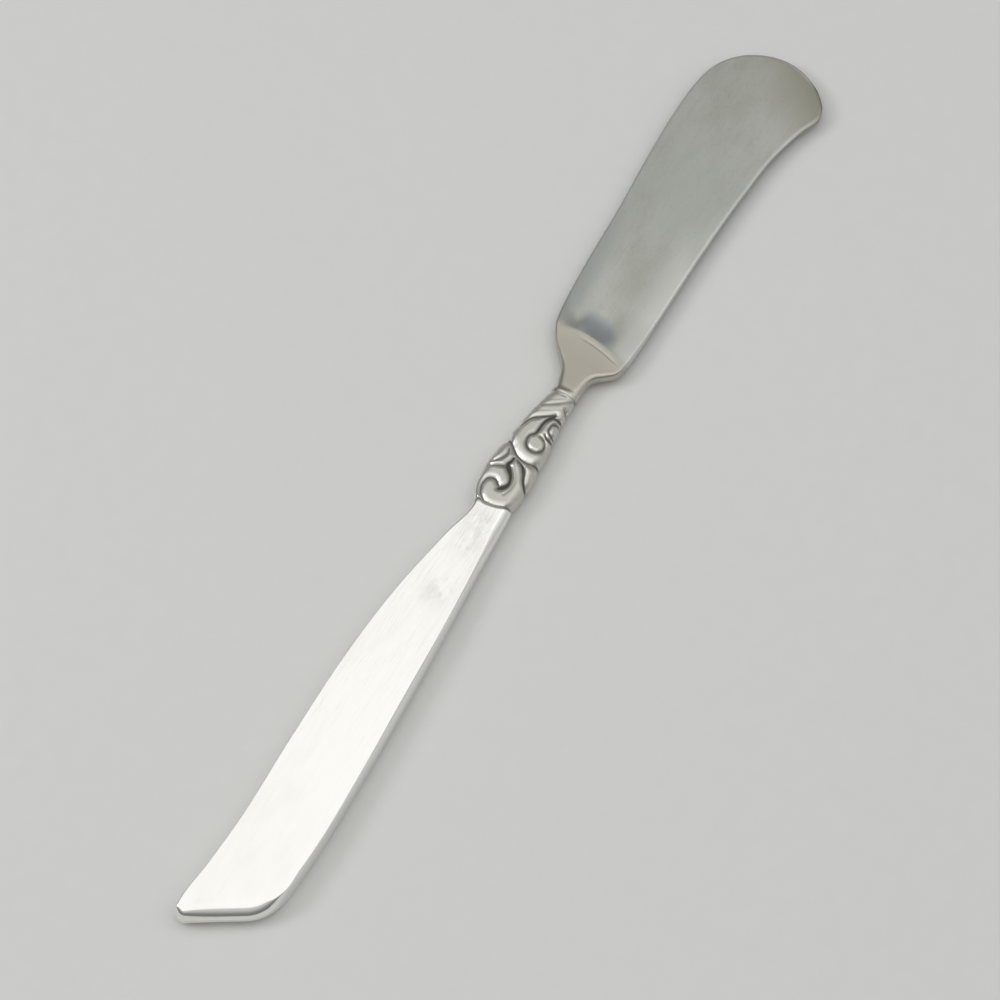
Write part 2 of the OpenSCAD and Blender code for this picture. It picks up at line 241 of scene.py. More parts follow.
@dataclass
class RimmedFace:
    """Grid over an outline whose rim rises to a top, with the far end closed by a rim too.

    The outline runs along the left side, across the end and back along the right side. Over the rim a
    point at the angle a lies rounding * (1 - cos a) inside the outline, and has the rise sin a. Lines
    across the top join the two sides, and in the corners of the end they pass evenly into its rim.

    Attributes:
        left: Points of the left side, from the mouth to the end.
        right: Points of the right side, as many.
        levels: Steps up the rim.
        across: Steps across the top.
        bowed: Whether the last column of a point is the bow of its line across the piece.
        corner: Steps along the corners of the end, where the lines across turn into the end's own.
        ease: Power by which the left corner's rounding passes into the right one's across the end.
    """

    left: Array
    right: Array
    levels: int
    across: int
    bowed: bool
    corner: int
    ease: int = 3
    plan: Array = field(init=False)
    rise: Array = field(init=False)
    values: Array = field(init=False)
    share: Array = field(init=False)
    rim: Index = field(init=False)
    mouth: Index = field(init=False)
    quads: Index = field(init=False)

    def __post_init__(self) -> None:
        """Lays out the rim and the top."""
        last = len(self.left) - 1
        turn = 1 if self.left[-1, ALONG] < self.left[0, ALONG] else -1
        q = np.linspace(0.0, 1.0, self.across + 1)
        end = mix(self.left[-1], self.right[-1], q[:, None])
        end[:, ROUND] = mix(self.left[-1, ROUND], self.right[-1, ROUND], 1.0 - (1.0 - q) ** self.ease)
        end[:, ALONG] += self.bow(end, q)
        outline = np.vstack([self.left, end[1:-1], self.right[::-1]])
        normal = inward_normals(outline, turn)
        normal[-1] = [0.0, -np.sign(outline[-1, ACROSS])]
        count = len(outline)
        angle = np.linspace(0.0, math.pi / 2, self.levels + 1)
        depth = outline[:, ROUND, None] * (1.0 - np.cos(angle))
        rim_plan = outline[:, None, :2] + depth[..., None] * normal[:, None, :]
        ids = np.arange(count * (self.levels + 1)).reshape(count, self.levels + 1)

        left_top = rim_plan[: last + 1, -1]
        right_top = rim_plan[::-1][: last + 1, -1]
        rows = mix(left_top[:-1, None], right_top[:-1, None], q[None, 1:-1, None])
        row_values = mix(self.left[:-1, None], self.right[:-1, None], q[None, 1:-1, None])
        rows[..., ALONG] += self.bow(row_values, q[None, 1:-1])
        turning = last - self.corner
        step = np.arange(last)
        share = np.clip((step - turning) / self.corner, 0.0, 1.0)[:, None, None]
        rows = mix(rows[np.minimum(step, turning)], rim_plan[last + 1 : last + self.across, -1], share)
        top_ids = np.empty((last + 1, self.across + 1), np.int64)
        top_ids[:, 0] = ids[: last + 1, -1]
        top_ids[:, -1] = ids[::-1][: last + 1, -1]
        top_ids[-1] = ids[last : last + self.across + 1, -1]
        top_ids[:-1, 1:-1] = ids.size + np.arange(rows[..., 0].size).reshape(rows.shape[:2])

        spread = np.zeros((count, self.levels + 1))
        spread[last : last + self.across + 1] = q[:, None]
        spread[last + self.across :] = 1.0
        self.plan = np.vstack([rim_plan.reshape(-1, 2), rows.reshape(-1, 2)])
        self.rise = np.concatenate([np.tile(np.sin(angle), count), np.ones(rows[..., 0].size)])
        rim_values = np.repeat(outline, self.levels + 1, axis=0)
        self.values = np.vstack([rim_values, row_values.reshape(-1, outline.shape[1])])
        self.share = np.concatenate([spread.ravel(), np.tile(q[1:-1], last)])
        self.rim = ids[:, 0]
        self.mouth = np.concatenate([ids[-1, :-1], top_ids[0, ::-1], ids[0, :-1][::-1]])
        quads = np.vstack([self.cells(ids), self.cells(top_ids)])
        self.quads = quads if turn == 1 else quads[:, ::-1]

    def bow(self, values: Array, q: Array) -> Union[Array, float]:
        """Shift along the knife of points at the share q across it: a parabola of the height in MORE."""
        return values[..., MORE] * 4.0 * q * (1.0 - q) if self.bowed else 0.0

    @staticmethod
    def cells(ids: Index) -> Index:
        """Quads of a grid of vertex numbers."""
        corners = [ids[:-1, :-1], ids[1:, :-1], ids[1:, 1:], ids[:-1, 1:]]
        return np.stack([c.ravel() for c in corners], axis=1)


@dataclass(frozen=True)
class Groove:
    """One valley between two strands of the ornament.

    Attributes:
        points: Along, across and half width of its floor, in millimetres, at the places it passes.
        depth: Depth of its floor below the crest.
        shoulder: Width over which the metal rolls down to it on each side.
        ink: How dark its floor is, from 0 to 1.
        steps: Straight steps between two of its points.
    """

    points: tuple[Triple, ...]
    depth: float = 0.34
    shoulder: float = 0.85
    ink: float = 1.0
    steps: int = 6

    def reach(self, plan: Array) -> Array:
        """Distance of points from the edge of the floor, negative inside it.

        Args:
            plan: Points along and across the knife.

        Returns:
            The least distance to the groove's line, less the half width there.
        """
        line = smooth_through(np.array(self.points), [self.steps] * (len(self.points) - 1))
        start, way = line[:-1, :2], np.diff(line[:, :2], axis=0)
        gap = plan[:, None, :] - start[None]
        t = np.clip((gap * way).sum(-1) / (way * way).sum(-1), 0.0, 1.0)
        distance = np.linalg.norm(gap - t[..., None] * way, axis=-1)
        return (distance - mix(line[:-1, 2], line[1:, 2], t)).min(axis=1)


# Rear edge of the ornament, along and across the knife in millimetres, with half the width of its line and
# the distances past it at which the ornament begins and is full
SCROLL_EDGE = ((-22.55, 2.6), (-22.15, 1.9), (-22.1, 0.9), (-22.0, 0.0), (-21.8, -1.0), (-21.45, -1.9),
               (-21.05, -2.7), (-20.85, -3.6))
SCROLL_EDGE_HALF = 0.03
SCROLL_EDGE_FADE = (-0.06, 0.1)

GROOVES = {
    "edge_of_the_scrolls": Groove(tuple((x, y, SCROLL_EDGE_HALF) for x, y in SCROLL_EDGE), 0.3, 1.0, 0.7),
    "wedge_at_the_waist": Groove((
        (-22.7, 2.4, 0.3), (-22.3, 2.1, 0.28), (-21.95, 1.75, 0.16), (-21.75, 1.4, 0.04),
    ), 0.3, 0.5, 0.8),
    "hook_of_the_rear_scroll": Groove((
        (-21.95, 0.1, 0.04), (-21.8, 0.8, 0.05), (-21.45, 1.45, 0.06), (-20.95, 2.0, 0.07),
        (-20.3, 2.42, 0.08), (-19.4, 2.65, 0.08), (-18.75, 2.52, 0.09), (-18.25, 2.15, 0.1),
        (-18.05, 1.6, 0.11), (-18.15, 1.1, 0.11), (-18.45, 0.75, 0.12), (-18.75, 0.4, 0.15),
    ), 0.3, 0.8, 0.75),
    "eye_and_crescent": Groove((
        (-19.1, 0.25, 0.12), (-18.8, -0.1, 0.26), (-18.35, -0.5, 0.22), (-17.7, -0.65, 0.14),
        (-16.9, -0.45, 0.14), (-16.15, 0.05, 0.2), (-15.6, 0.6, 0.28), (-15.1, 1.0, 0.2),
        (-14.5, 0.85, 0.12), (-13.8, 0.75, 0.08),
    ), 0.36, 0.8, 0.95),
    "lobe_of_the_rear_scroll": Groove((
        (-16.35, 3.1, 0.04), (-16.0, 2.2, 0.09), (-15.75, 1.6, 0.14), (-15.55, 1.1, 0.24),
    ), 0.26, 0.6, 0.7),
    "bud_between_the_scrolls": Groove((
        (-15.5, 3.1, 0.06), (-14.95, 2.45, 0.12), (-14.3, 2.05, 0.1), (-13.5, 1.9, 0.08),
        (-12.8, 2.1, 0.05),
    ), 0.24, 0.6, 0.7),
    "strand_of_the_stem": Groove((
        (-19.6, -0.9, 0.01), (-18.3, -1.3, 0.03), (-17.3, -1.25, 0.04), (-16.15, -0.8, 0.04),
        (-15.0, 0.0, 0.04), (-14.2, 0.55, 0.03),
    ), 0.1, 0.5, 0.35),
    "leaf_below_the_stem": Groove((
        (-13.9, 0.2, 0.05), (-14.4, -0.9, 0.14), (-15.2, -1.6, 0.2), (-15.9, -2.0, 0.18),
        (-16.5, -2.4, 0.14), (-17.0, -2.85, 0.1), (-17.7, -3.6, 0.08),
    ), 0.32, 0.7, 0.85),
    "edge_of_the_front_scroll": Groove((
        (-11.5, 3.3, 0.1), (-11.95, 2.3, 0.11), (-12.6, 1.5, 0.1), (-13.2, 0.7, 0.1),
        (-13.5, -0.1, 0.1), (-13.62, -1.0, 0.1), (-13.5, -1.9, 0.11), (-13.3, -2.8, 0.13),
        (-13.2, -3.6, 0.14),
    ), 0.4, 1.2, 0.75),
    "ring_of_the_front_scroll": Groove((
        (-9.0, 0.3, 0.08), (-9.6, 0.75, 0.08), (-10.3, 0.75, 0.09), (-10.95, 0.48, 0.11),
        (-11.45, -0.1, 0.14), (-11.62, -0.85, 0.14), (-11.5, -1.5, 0.12), (-11.05, -2.0, 0.1),
        (-10.4, -2.15, 0.09), (-9.65, -1.85, 0.08), (-9.15, -1.2, 0.07), (-9.0, -0.6, 0.04),
    ), 0.26, 0.5, 0.75),
    "underside_of_the_leaf": Groove((
        (-9.2, 0.5, 0.06), (-8.7, 0.2, 0.1), (-8.0, 0.12, 0.12), (-7.0, 0.1, 0.12),
        (-6.2, -0.1, 0.17), (-5.45, -0.5, 0.24), (-4.95, -0.75, 0.18),
    ), 0.32, 0.7, 0.85),
    "first_reed": Groove((
        (-8.7, 2.9, 0.04), (-8.0, 2.5, 0.09), (-7.3, 2.25, 0.11), (-6.73, 1.75, 0.12),
        (-6.25, 1.1, 0.12), (-5.77, 0.42, 0.13), (-5.2, -0.35, 0.16), (-4.85, -0.8, 0.16),
    ), 0.26, 0.8, 0.75),
    "second_reed": Groove((
        (-6.3, 3.0, 0.02), (-5.6, 2.0, 0.03), (-4.9, 0.9, 0.04), (-4.3, -0.1, 0.04), (-3.7, -1.0, 0.03),
    ), 0.03, 0.6, 0.1),
    "third_reed": Groove((
        (-4.5, 2.4, 0.02), (-3.75, 0.9, 0.03), (-3.27, 0.23, 0.05), (-2.7, -0.54, 0.06),
        (-2.1, -1.2, 0.06), (-1.35, -1.9, 0.04),
    ), 0.1, 0.6, 0.5),
    "fourth_reed": Groove((
        (-3.4, 2.5, 0.02), (-2.9, 1.2, 0.03), (-2.3, 0.1, 0.04), (-1.7, -0.9, 0.03),
    ), 0.025, 0.5, 0.1),
    "curl_of_the_small_scroll": Groove((
        (-8.2, -2.5, 0.06), (-8.0, -1.75, 0.1), (-7.7, -1.35, 0.1), (-7.1, -1.15, 0.1),
        (-6.45, -1.27, 0.1), (-6.1, -1.75, 0.08), (-6.0, -2.5, 0.06),
    ), 0.26, 0.45, 0.75),
    "rear_of_the_small_scroll": Groove((
        (-8.75, -2.8, 0.08), (-8.85, -2.2, 0.13), (-8.8, -1.6, 0.13), (-8.4, -1.1, 0.06),
    ), 0.26, 0.45, 0.75),
    "front_of_the_small_scroll": Groove((
        (-5.45, -0.75, 0.13), (-5.4, -1.3, 0.12), (-5.35, -2.0, 0.12), (-5.4, -2.8, 0.1),
    ), 0.28, 0.5, 0.8),
    "notch_below_the_reeds": Groove((
        (-3.3, -1.4, 0.02), (-3.65, -1.8, 0.1), (-3.95, -2.3, 0.2),
    ), 0.3, 0.5, 0.6),
    "line_behind_the_ring": Groove((
        (-1.6, 2.6, 0.03), (-1.55, 1.2, 0.04), (-1.5, 0.3, 0.02), (-1.5, -0.4, 0.01),
    ), 0.08, 0.35, 0.4),
}


@dataclass
class ScrollRelief:
    """Struck ornament of the handle: crests at the outer surface, with grooves rolled down between them.

    Attributes:
        grooves: The grooves, in the frame of the knife.
        sharpness: Power by which overlapping grooves are joined: high keeps the crest between them sharp.
        ink_edge: Distances from a floor's edge at which its darkness begins to fade, and is gone.
        shade: Darkness of the painted shade on a groove's shoulder next to its floor.
        front: Direction in degrees that the flanks with painted shade face.
        shade_tilt: Tilt to the front at which the painted shade begins, and at which it is full.
        painted_gleam_tilt: Tilt to the rear at which a flank's painted highlight begins, and at which it is
            brightest.
        painted_gleam: Share of the darker, rougher wear that is taken away there, which paints the highlight.
    """

    grooves: dict[str, Groove]
    sharpness: float = 4.0
    ink_edge: Pair = (-0.08, 0.28)
    # Painted shade on the shoulders, only on flanks that lean to the front
    shade: float = 0.6
    front: float = -14.5
    shade_tilt: Pair = (-0.2, 0.3)
    # Painted highlight on the flanks that lean to the rear
    painted_gleam_tilt: Pair = (0.08, 0.36)
    painted_gleam: float = 0.62

    def carve(self, plan: Array) -> tuple[Array, Array, Array]:
        """Depth, darkness and painted shade of the ornament.

        A groove's depth falls as the square of the share of its shoulder that is left, and the depths
        of all the grooves are joined as the root of the sum of their powers.

        Args:
            plan: Points along and across the knife.

        Returns:
            Depth in millimetres, and from 0 to 1 the darkness of the floors and the painted shade of the
            shoulders.
        """
        depth, ink, shade = np.zeros((3, len(plan)))
        for groove in self.grooves.values():
            reach = groove.reach(plan)
            share = np.clip(reach / groove.shoulder, 0.0, 1.0)
            valley = groove.depth * (1.0 - share) ** 2
            depth += valley**self.sharpness
            ink = np.maximum(ink, groove.ink * smooth_fall(*self.ink_edge, reach))
            # Painted shade on the shoulder, darkest next to the floor
            shade = np.maximum(shade, self.shade * groove.ink * (1.0 - share) ** 2)
        return depth ** (1.0 / self.sharpness), ink, shade

    def tilt(self, normal: Array) -> Array:
        """Lean of surfaces towards the front, from -1 to 1: the rear flanks, below 0, get a painted
        highlight.
        """
        way = math.radians(self.front)
        return normal[:, ALONG] * math.cos(way) + normal[:, ACROSS] * math.sin(way)

    @staticmethod
    def inside(plan: Array) -> Array:
        """Share, from 0 to 1, by which points lie on the ornament's side of its rear edge.

        Args:
            plan: Points along and across the knife.

        Returns:
            A smooth step over the distance past that edge.
        """
        edge = np.array(SCROLL_EDGE)[::-1]
        border = np.interp(plan[:, ACROSS], edge[:, 1], edge[:, 0])
        return smooth_step(*SCROLL_EDGE_FADE, plan[:, ALONG] - border)


def link(name: str, data: bpy.types.ID) -> bpy.types.Object:
    """Makes an object of a mesh, lamp or camera and puts it into the scene.

    Args:
        name: Name of the object.
        data: Its mesh, lamp or camera.

    Returns:
        The object.
    """
    obj = bpy.data.objects.new(name, data)
    bpy.context.scene.collection.objects.link(obj)
    return obj


@dataclass
class Placing:
    """Where the knife's own frame lies in the row's: its origin is the neck's axis at the collar's front."""

    origin: Array

    @classmethod
    def from_frame(cls, mouth_sway: float) -> "Placing":
        """Reads the place from the CAD nodes.

        Args:
            mouth_sway: How far the mouth lies to the left of the neck's axis, in millimetres.

        Returns:
            The placing.
        """
        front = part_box("collar")[1].x
        low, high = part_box("collar_solder")
        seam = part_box("seam_solder")
        centre = (low.y + high.y) / 2 - mouth_sway * MM
        return cls(np.array([front, centre, (seam[0].z + seam[1].z) / 2]))

    def to_row(self, points: Array) -> Array:
        """Points of the knife's own frame, in millimetres, as points of the row in metres."""
        return points * MM + self.origin

    def add(
        self, name: str, piece: Piece, material: bpy.types.Material, crease: float = 40.0
    ) -> bpy.types.Object:
        """Makes a smooth-shaded mesh object of a piece.

        Args:
            name: Name of the object.
            piece: Its vertices and faces.
            material: Its finish.
            crease: Angle in degrees past which an edge stays sharp.

        Returns:
            The object, at the origin, with its place in its mesh.
        """
        mesh = bpy.data.meshes.new(name)
        faces = piece.quads.tolist() + piece.triangles.tolist()
        mesh.from_pydata(self.to_row(piece.points).tolist(), [], faces)
        mesh.polygons.foreach_set("use_smooth", np.ones(len(faces), bool))
        mesh.set_sharp_from_angle(angle=math.radians(crease))
        mesh.materials.append(material)
        mesh.update()
        return link(name, mesh)


def paint(obj: bpy.types.Object, label: str, value: Array) -> None:
    """Stores a number for each vertex, for the finish to read."""
    layer = obj.data.attributes.new(label, "FLOAT", "POINT")
    layer.data.foreach_set("value", value.astype(np.float32))


def declare(obj: bpy.types.Object, node: str) -> None:
    """Says which CAD node a piece stands for: ties the piece to the root body and hides the node.

    Args:
        obj: The piece.
        node: Name of the CAD node.
    """
    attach(obj, BODY)
    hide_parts(node)
    LOG.info("%s replaces %s: %d faces", obj.name, node, len(obj.data.polygons))


class Reading:
    """A node's output socket, with arithmetic that adds Math nodes."""

    def __init__(self, sheet: "NodeSheet", socket: bpy.types.NodeSocket) -> None:
        """Wraps a socket of a sheet."""
        self.sheet = sheet
        self.socket = socket

    def __add__(self, other: "Operand") -> "Reading":
        """Sum."""
        return self.sheet.math("ADD", self, other)

    def __rsub__(self, other: "Operand") -> "Reading":
        """Difference from a number."""
        return self.sheet.math("SUBTRACT", other, self)

    def __mul__(self, other: "Operand") -> "Reading":
        """Product."""
        return self.sheet.math("MULTIPLY", self, other)

    __radd__ = __add__
    __rmul__ = __mul__

    def smooth(self, low: float, high: float) -> "Reading":
        """Smooth rise from 0 at low to 1 at high."""
        node = self.sheet.node(
            "ShaderNodeMapRange",
            {"interpolation_type": "SMOOTHSTEP"},
            {"Value": self, "From Min": low, "From Max": high},
        )
        return Reading(self.sheet, node.outputs["Result"])

    def rise(self, low: float, high: float, height: float) -> "Reading":
        """Smooth rise from 0 at low to a height at high."""
        return self.smooth(low, high) * height


Operand = Union[Reading, float]


@dataclass(frozen=True)
class Cloud:
    """Noise of a finish: its direction in degrees, waves per millimetre, octaves and their roughness."""

    turn: float
    waves: Triple
    detail: float
    rough: float


@dataclass(frozen=True)
class Scratches:
    """A set of fine straight scratches, cut from drawn-out noise.

    Attributes:
        turn: Direction in degrees from the knife's length.
        length: Rough length of a scratch, in millimetres.
        spacing: Rough spacing of the noise, in millimetres.
        level: Level of the noise above which a scratch shows: lower gives more.
        edge: How far above that level it is full.
    """

    turn: float
    length: float
    spacing: float
    level: float
    edge: float = 0.06

    def noise(self) -> Cloud:
        """The noise that they are cut from."""
        along, across = 1.0 / self.length, 1.0 / self.spacing
        return Cloud(self.turn, (along, across, along), detail=1.0, rough=0.5)


class NodeSheet:
    """A node tree under construction."""

    def __init__(self, tree: bpy.types.NodeTree) -> None:
        """Starts from an empty tree."""
        self.tree = tree
        self.tree.nodes.clear()

    def node(
        self, kind: str, settings: dict[str, Any], inputs: dict[Union[str, int], Any]
    ) -> bpy.types.Node:
        """Adds a node.

        Args:
            kind: Blender's name of the node's type.
            settings: Its properties.
            inputs: Values, readings or sockets for its inputs, by name or number.

        Returns:
            The node.
        """
        node = self.tree.nodes.new(kind)
        for key, value in settings.items():
            setattr(node, key, value)
        for key, value in inputs.items():
            self.feed(node.inputs[key], value)
        return node

    def feed(self, socket: bpy.types.NodeSocket, value: Any) -> None:
        """Links a reading or a socket to an input, or sets its value.

        Args:
            socket: The input.
            value: A reading, a socket or a plain value.
        """
        if isinstance(value, Reading):
            self.tree.links.new(value.socket, socket)
        elif isinstance(value, bpy.types.NodeSocket):
            self.tree.links.new(value, socket)
        else:
            socket.default_value = value

    def math(self, operation: str, a: Operand, b: Operand) -> Reading:
        """Adds a Math node."""
        node = self.node("ShaderNodeMath", {"operation": operation}, {0: a, 1: b})
        return Reading(self, node.outputs[0])

    def colour(self, factor: Operand, a: Any, b: Any) -> bpy.types.NodeSocket:
        """Mixes two colours, a at 0 and b at 1."""
        inputs = {"Factor": factor, MIX_FIRST: a, MIX_SECOND: b}
        return self.node("ShaderNodeMix", {"data_type": "RGBA"}, inputs).outputs[MIX_RESULT]

    def attribute(self, name: str) -> Reading:
        """Value of the mesh's own attribute."""
        node = self.node("ShaderNodeAttribute", {"attribute_name": name}, {})
        return Reading(self, node.outputs["Fac"])

    def cloud(self, kind: Cloud) -> Reading:
        """Noise over Object coordinates, turned about Z and scaled to waves per millimetre.

        Args:
            kind: Its direction, waves and octaves.

        Returns:
            The noise, about 0.5.
        """
        source = self.node("ShaderNodeTexCoord", {}, {})
        mapping = self.node(
            "ShaderNodeMapping",
            {"vector_type": "POINT"},
            {
                "Vector": source.outputs["Object"],
                "Rotation": (0.0, 0.0, math.radians(kind.turn)),
                "Scale": tuple(wave / MM for wave in kind.waves),
            },
        )
        vector = mapping.outputs["Vector"]
        node = self.node(
            "ShaderNodeTexNoise",
            {},
            {"Vector": vector, "Scale": 1.0, "Detail": kind.detail, "Roughness": kind.rough},
        )
        return Reading(self, node.outputs["Fac"])

    def scratches(self, sets: Sequence[Scratches]) -> Reading:
        """Sets of scratches, added up.

        Args:
            sets: The sets.

        Returns:
            The number of sets that have a scratch at a place.
        """
        cuts = [self.cloud(one.noise()).smooth(one.level, one.level + one.edge) for one in sets]
        total = cuts[0]
        for cut in cuts[1:]:
            total = total + cut
        return total

    def bump(self, height: Reading, depth: float) -> bpy.types.NodeSocket:
        """Normal of a surface with that height, of a depth in millimetres."""
        node = self.node("ShaderNodeBump", {}, {"Strength": 1.0, "Distance": depth * MM, "Height": height})
        return node.outputs["Normal"]


class MetalSheet(NodeSheet):
    """A material under construction, with one shader."""

    def __init__(self, name: str) -> None:
        """Starts a material with a shader and an output.

        Args:
            name: Name of the material.
        """
        self.material = bpy.data.materials.new(name)
        self.material.use_nodes = True
        super().__init__(self.material.node_tree)
        self.shader = self.node("ShaderNodeBsdfPrincipled", {}, {})
        self.node("ShaderNodeOutputMaterial", {}, {"Surface": self.shader.outputs["BSDF"]})

    def finish(self, **values: Any) -> bpy.types.Material:
        """Feeds the shader's inputs.

        Args:
            **values: Values, readings or sockets by the input's name, with low lines for spaces.

        Returns:
            The material.
        """
        for key, value in values.items():
            self.feed(self.shader.inputs[key.replace("_", " ")], value)
        return self.material


@dataclass(frozen=True)
class PolishedSilver:
    """Polished silver with hairline scratches, a little haze, dark tarnish in the recesses and painted shade
    beside them.

    A rise is the level of its noise at which it begins, the level at which it is full, and its height.

    Attributes:
        name: Name of the material.
        bright: Colour of the clean metal.
        warm: Colour that the haze leans to.
        struck: Colour of the worn metal of the ornament, lessened where the painted highlight lies.
        tarnish_and_shade_colour: Colour of the tarnish in the recesses, and of the painted shade beside them.
        dull: Colour of the handled patches.
        polish: Roughness of the clean metal.
        wear_and_gleam: Roughness that the wear adds, less where the painted highlight lies.
        tarnished_and_shaded: Whether the piece carries the attributes of tarnish with painted shade, wear
            with a painted highlight, and patches.
        haze: Broad noise of the polish.
        cloud: Smaller noise of the tarnish.
        scratches: Hairlines left by polishing and use.
        warm_rise: Share of the warm colour, over the haze.
        haze_rise: Roughness that the haze adds.
        scratch_rough: Roughness on a scratch.
        tarnish_and_shade_rough: Roughness that the tarnish and the painted shade add.
        smudge_rough: Roughness that a handled patch adds.
        patchy: Least share of the tarnish and painted shade, and what the cloud adds to it.
        tarnish_and_shade_range: Darkness at which the tarnish and painted shade begin, and at which they are
            full.
        smudge_range: Level of the cloud at which a handled patch begins, and at which it is full.
        cover: Share of the metal's look that the tarnish and painted shade hide.
        heights: Heights of the scratches, haze and cloud, as shares of the relief.
        relief: Depth of the fine relief, in millimetres.
    """

    name: str = "polished_silver"
    bright: Colour = (0.93, 0.925, 0.9, 1.0)
    warm: Colour = (0.87, 0.85, 0.8, 1.0)
    struck: Colour = (0.665, 0.65, 0.595, 1.0)
    # Dark colour of the tarnish, also used for the painted shade
    tarnish_and_shade_colour: Colour = (0.075, 0.072, 0.058, 1.0)
    dull: Colour = (0.82, 0.815, 0.79, 1.0)
    polish: float = 0.1
    wear_and_gleam: float = 0.34
    tarnished_and_shaded: bool = True
    haze: Cloud = Cloud(20.0, (0.07, 0.16, 0.16), 4.0, 0.55)
    cloud: Cloud = Cloud(-35.0, (0.5, 0.7, 0.7), 3.0, 0.6)
    scratches: tuple[Scratches, ...] = (
        Scratches(4.0, 9.0, 0.09, 0.62),
        Scratches(38.0, 6.0, 0.11, 0.66),
        Scratches(-52.0, 5.0, 0.12, 0.67),
        Scratches(84.0, 4.0, 0.1, 0.67),
    )
    warm_rise: Triple = (0.4, 0.75, 0.5)
    haze_rise: Triple = (0.35, 0.75, 0.06)
    scratch_rough: float = 0.035
    tarnish_and_shade_rough: float = 0.2
    smudge_rough: float = 0.06
    patchy: Pair = (0.8, 0.4)
    tarnish_and_shade_range: Pair = (0.05, 0.95)
    smudge_range: Pair = (0.3, 0.62)
    cover: float = 0.5
    heights: Triple = (-0.35, 1.2, 0.25)
    relief: float = 0.004

    def material(self) -> bpy.types.Material:
        """Builds the finish.

        Returns:
            The material.
        """
        sheet = MetalSheet(self.name)
        haze, cloud = sheet.cloud(self.haze), sheet.cloud(self.cloud)
        lines = sheet.scratches(self.scratches)
        colour = sheet.colour(haze.rise(*self.warm_rise), self.bright, self.warm)
        rough = self.polish + haze.rise(*self.haze_rise) + lines * self.scratch_rough
        metal: Operand = 1.0
        if self.tarnished_and_shaded:
            # Wear of the ornament, lessened on its rear flanks as a painted highlight
            struck = sheet.attribute(WEAR_AND_GLEAM)
            patchy = self.patchy[0] + cloud * self.patchy[1]
            # Tarnish in the recesses together with painted shade on the front flanks
            dark = (sheet.attribute(TARNISH_AND_SHADE) * patchy).smooth(*self.tarnish_and_shade_range)
            smudge = sheet.attribute(SMUDGE) * cloud.smooth(*self.smudge_range)
            colour = sheet.colour(struck, colour, self.struck)
            colour = sheet.colour(dark, colour, self.tarnish_and_shade_colour)
            colour = sheet.colour(smudge, colour, self.dull)
            rough = rough + struck * self.wear_and_gleam + dark * self.tarnish_and_shade_rough + smudge * self.smudge_rough
            metal = 1.0 - dark * self.cover
        height = lines * self.heights[0] + haze * self.heights[1] + cloud * self.heights[2]
        normal = sheet.bump(height, self.relief)
        return sheet.finish(Base_Color=colour, Roughness=rough, Metallic=metal, Normal=normal)


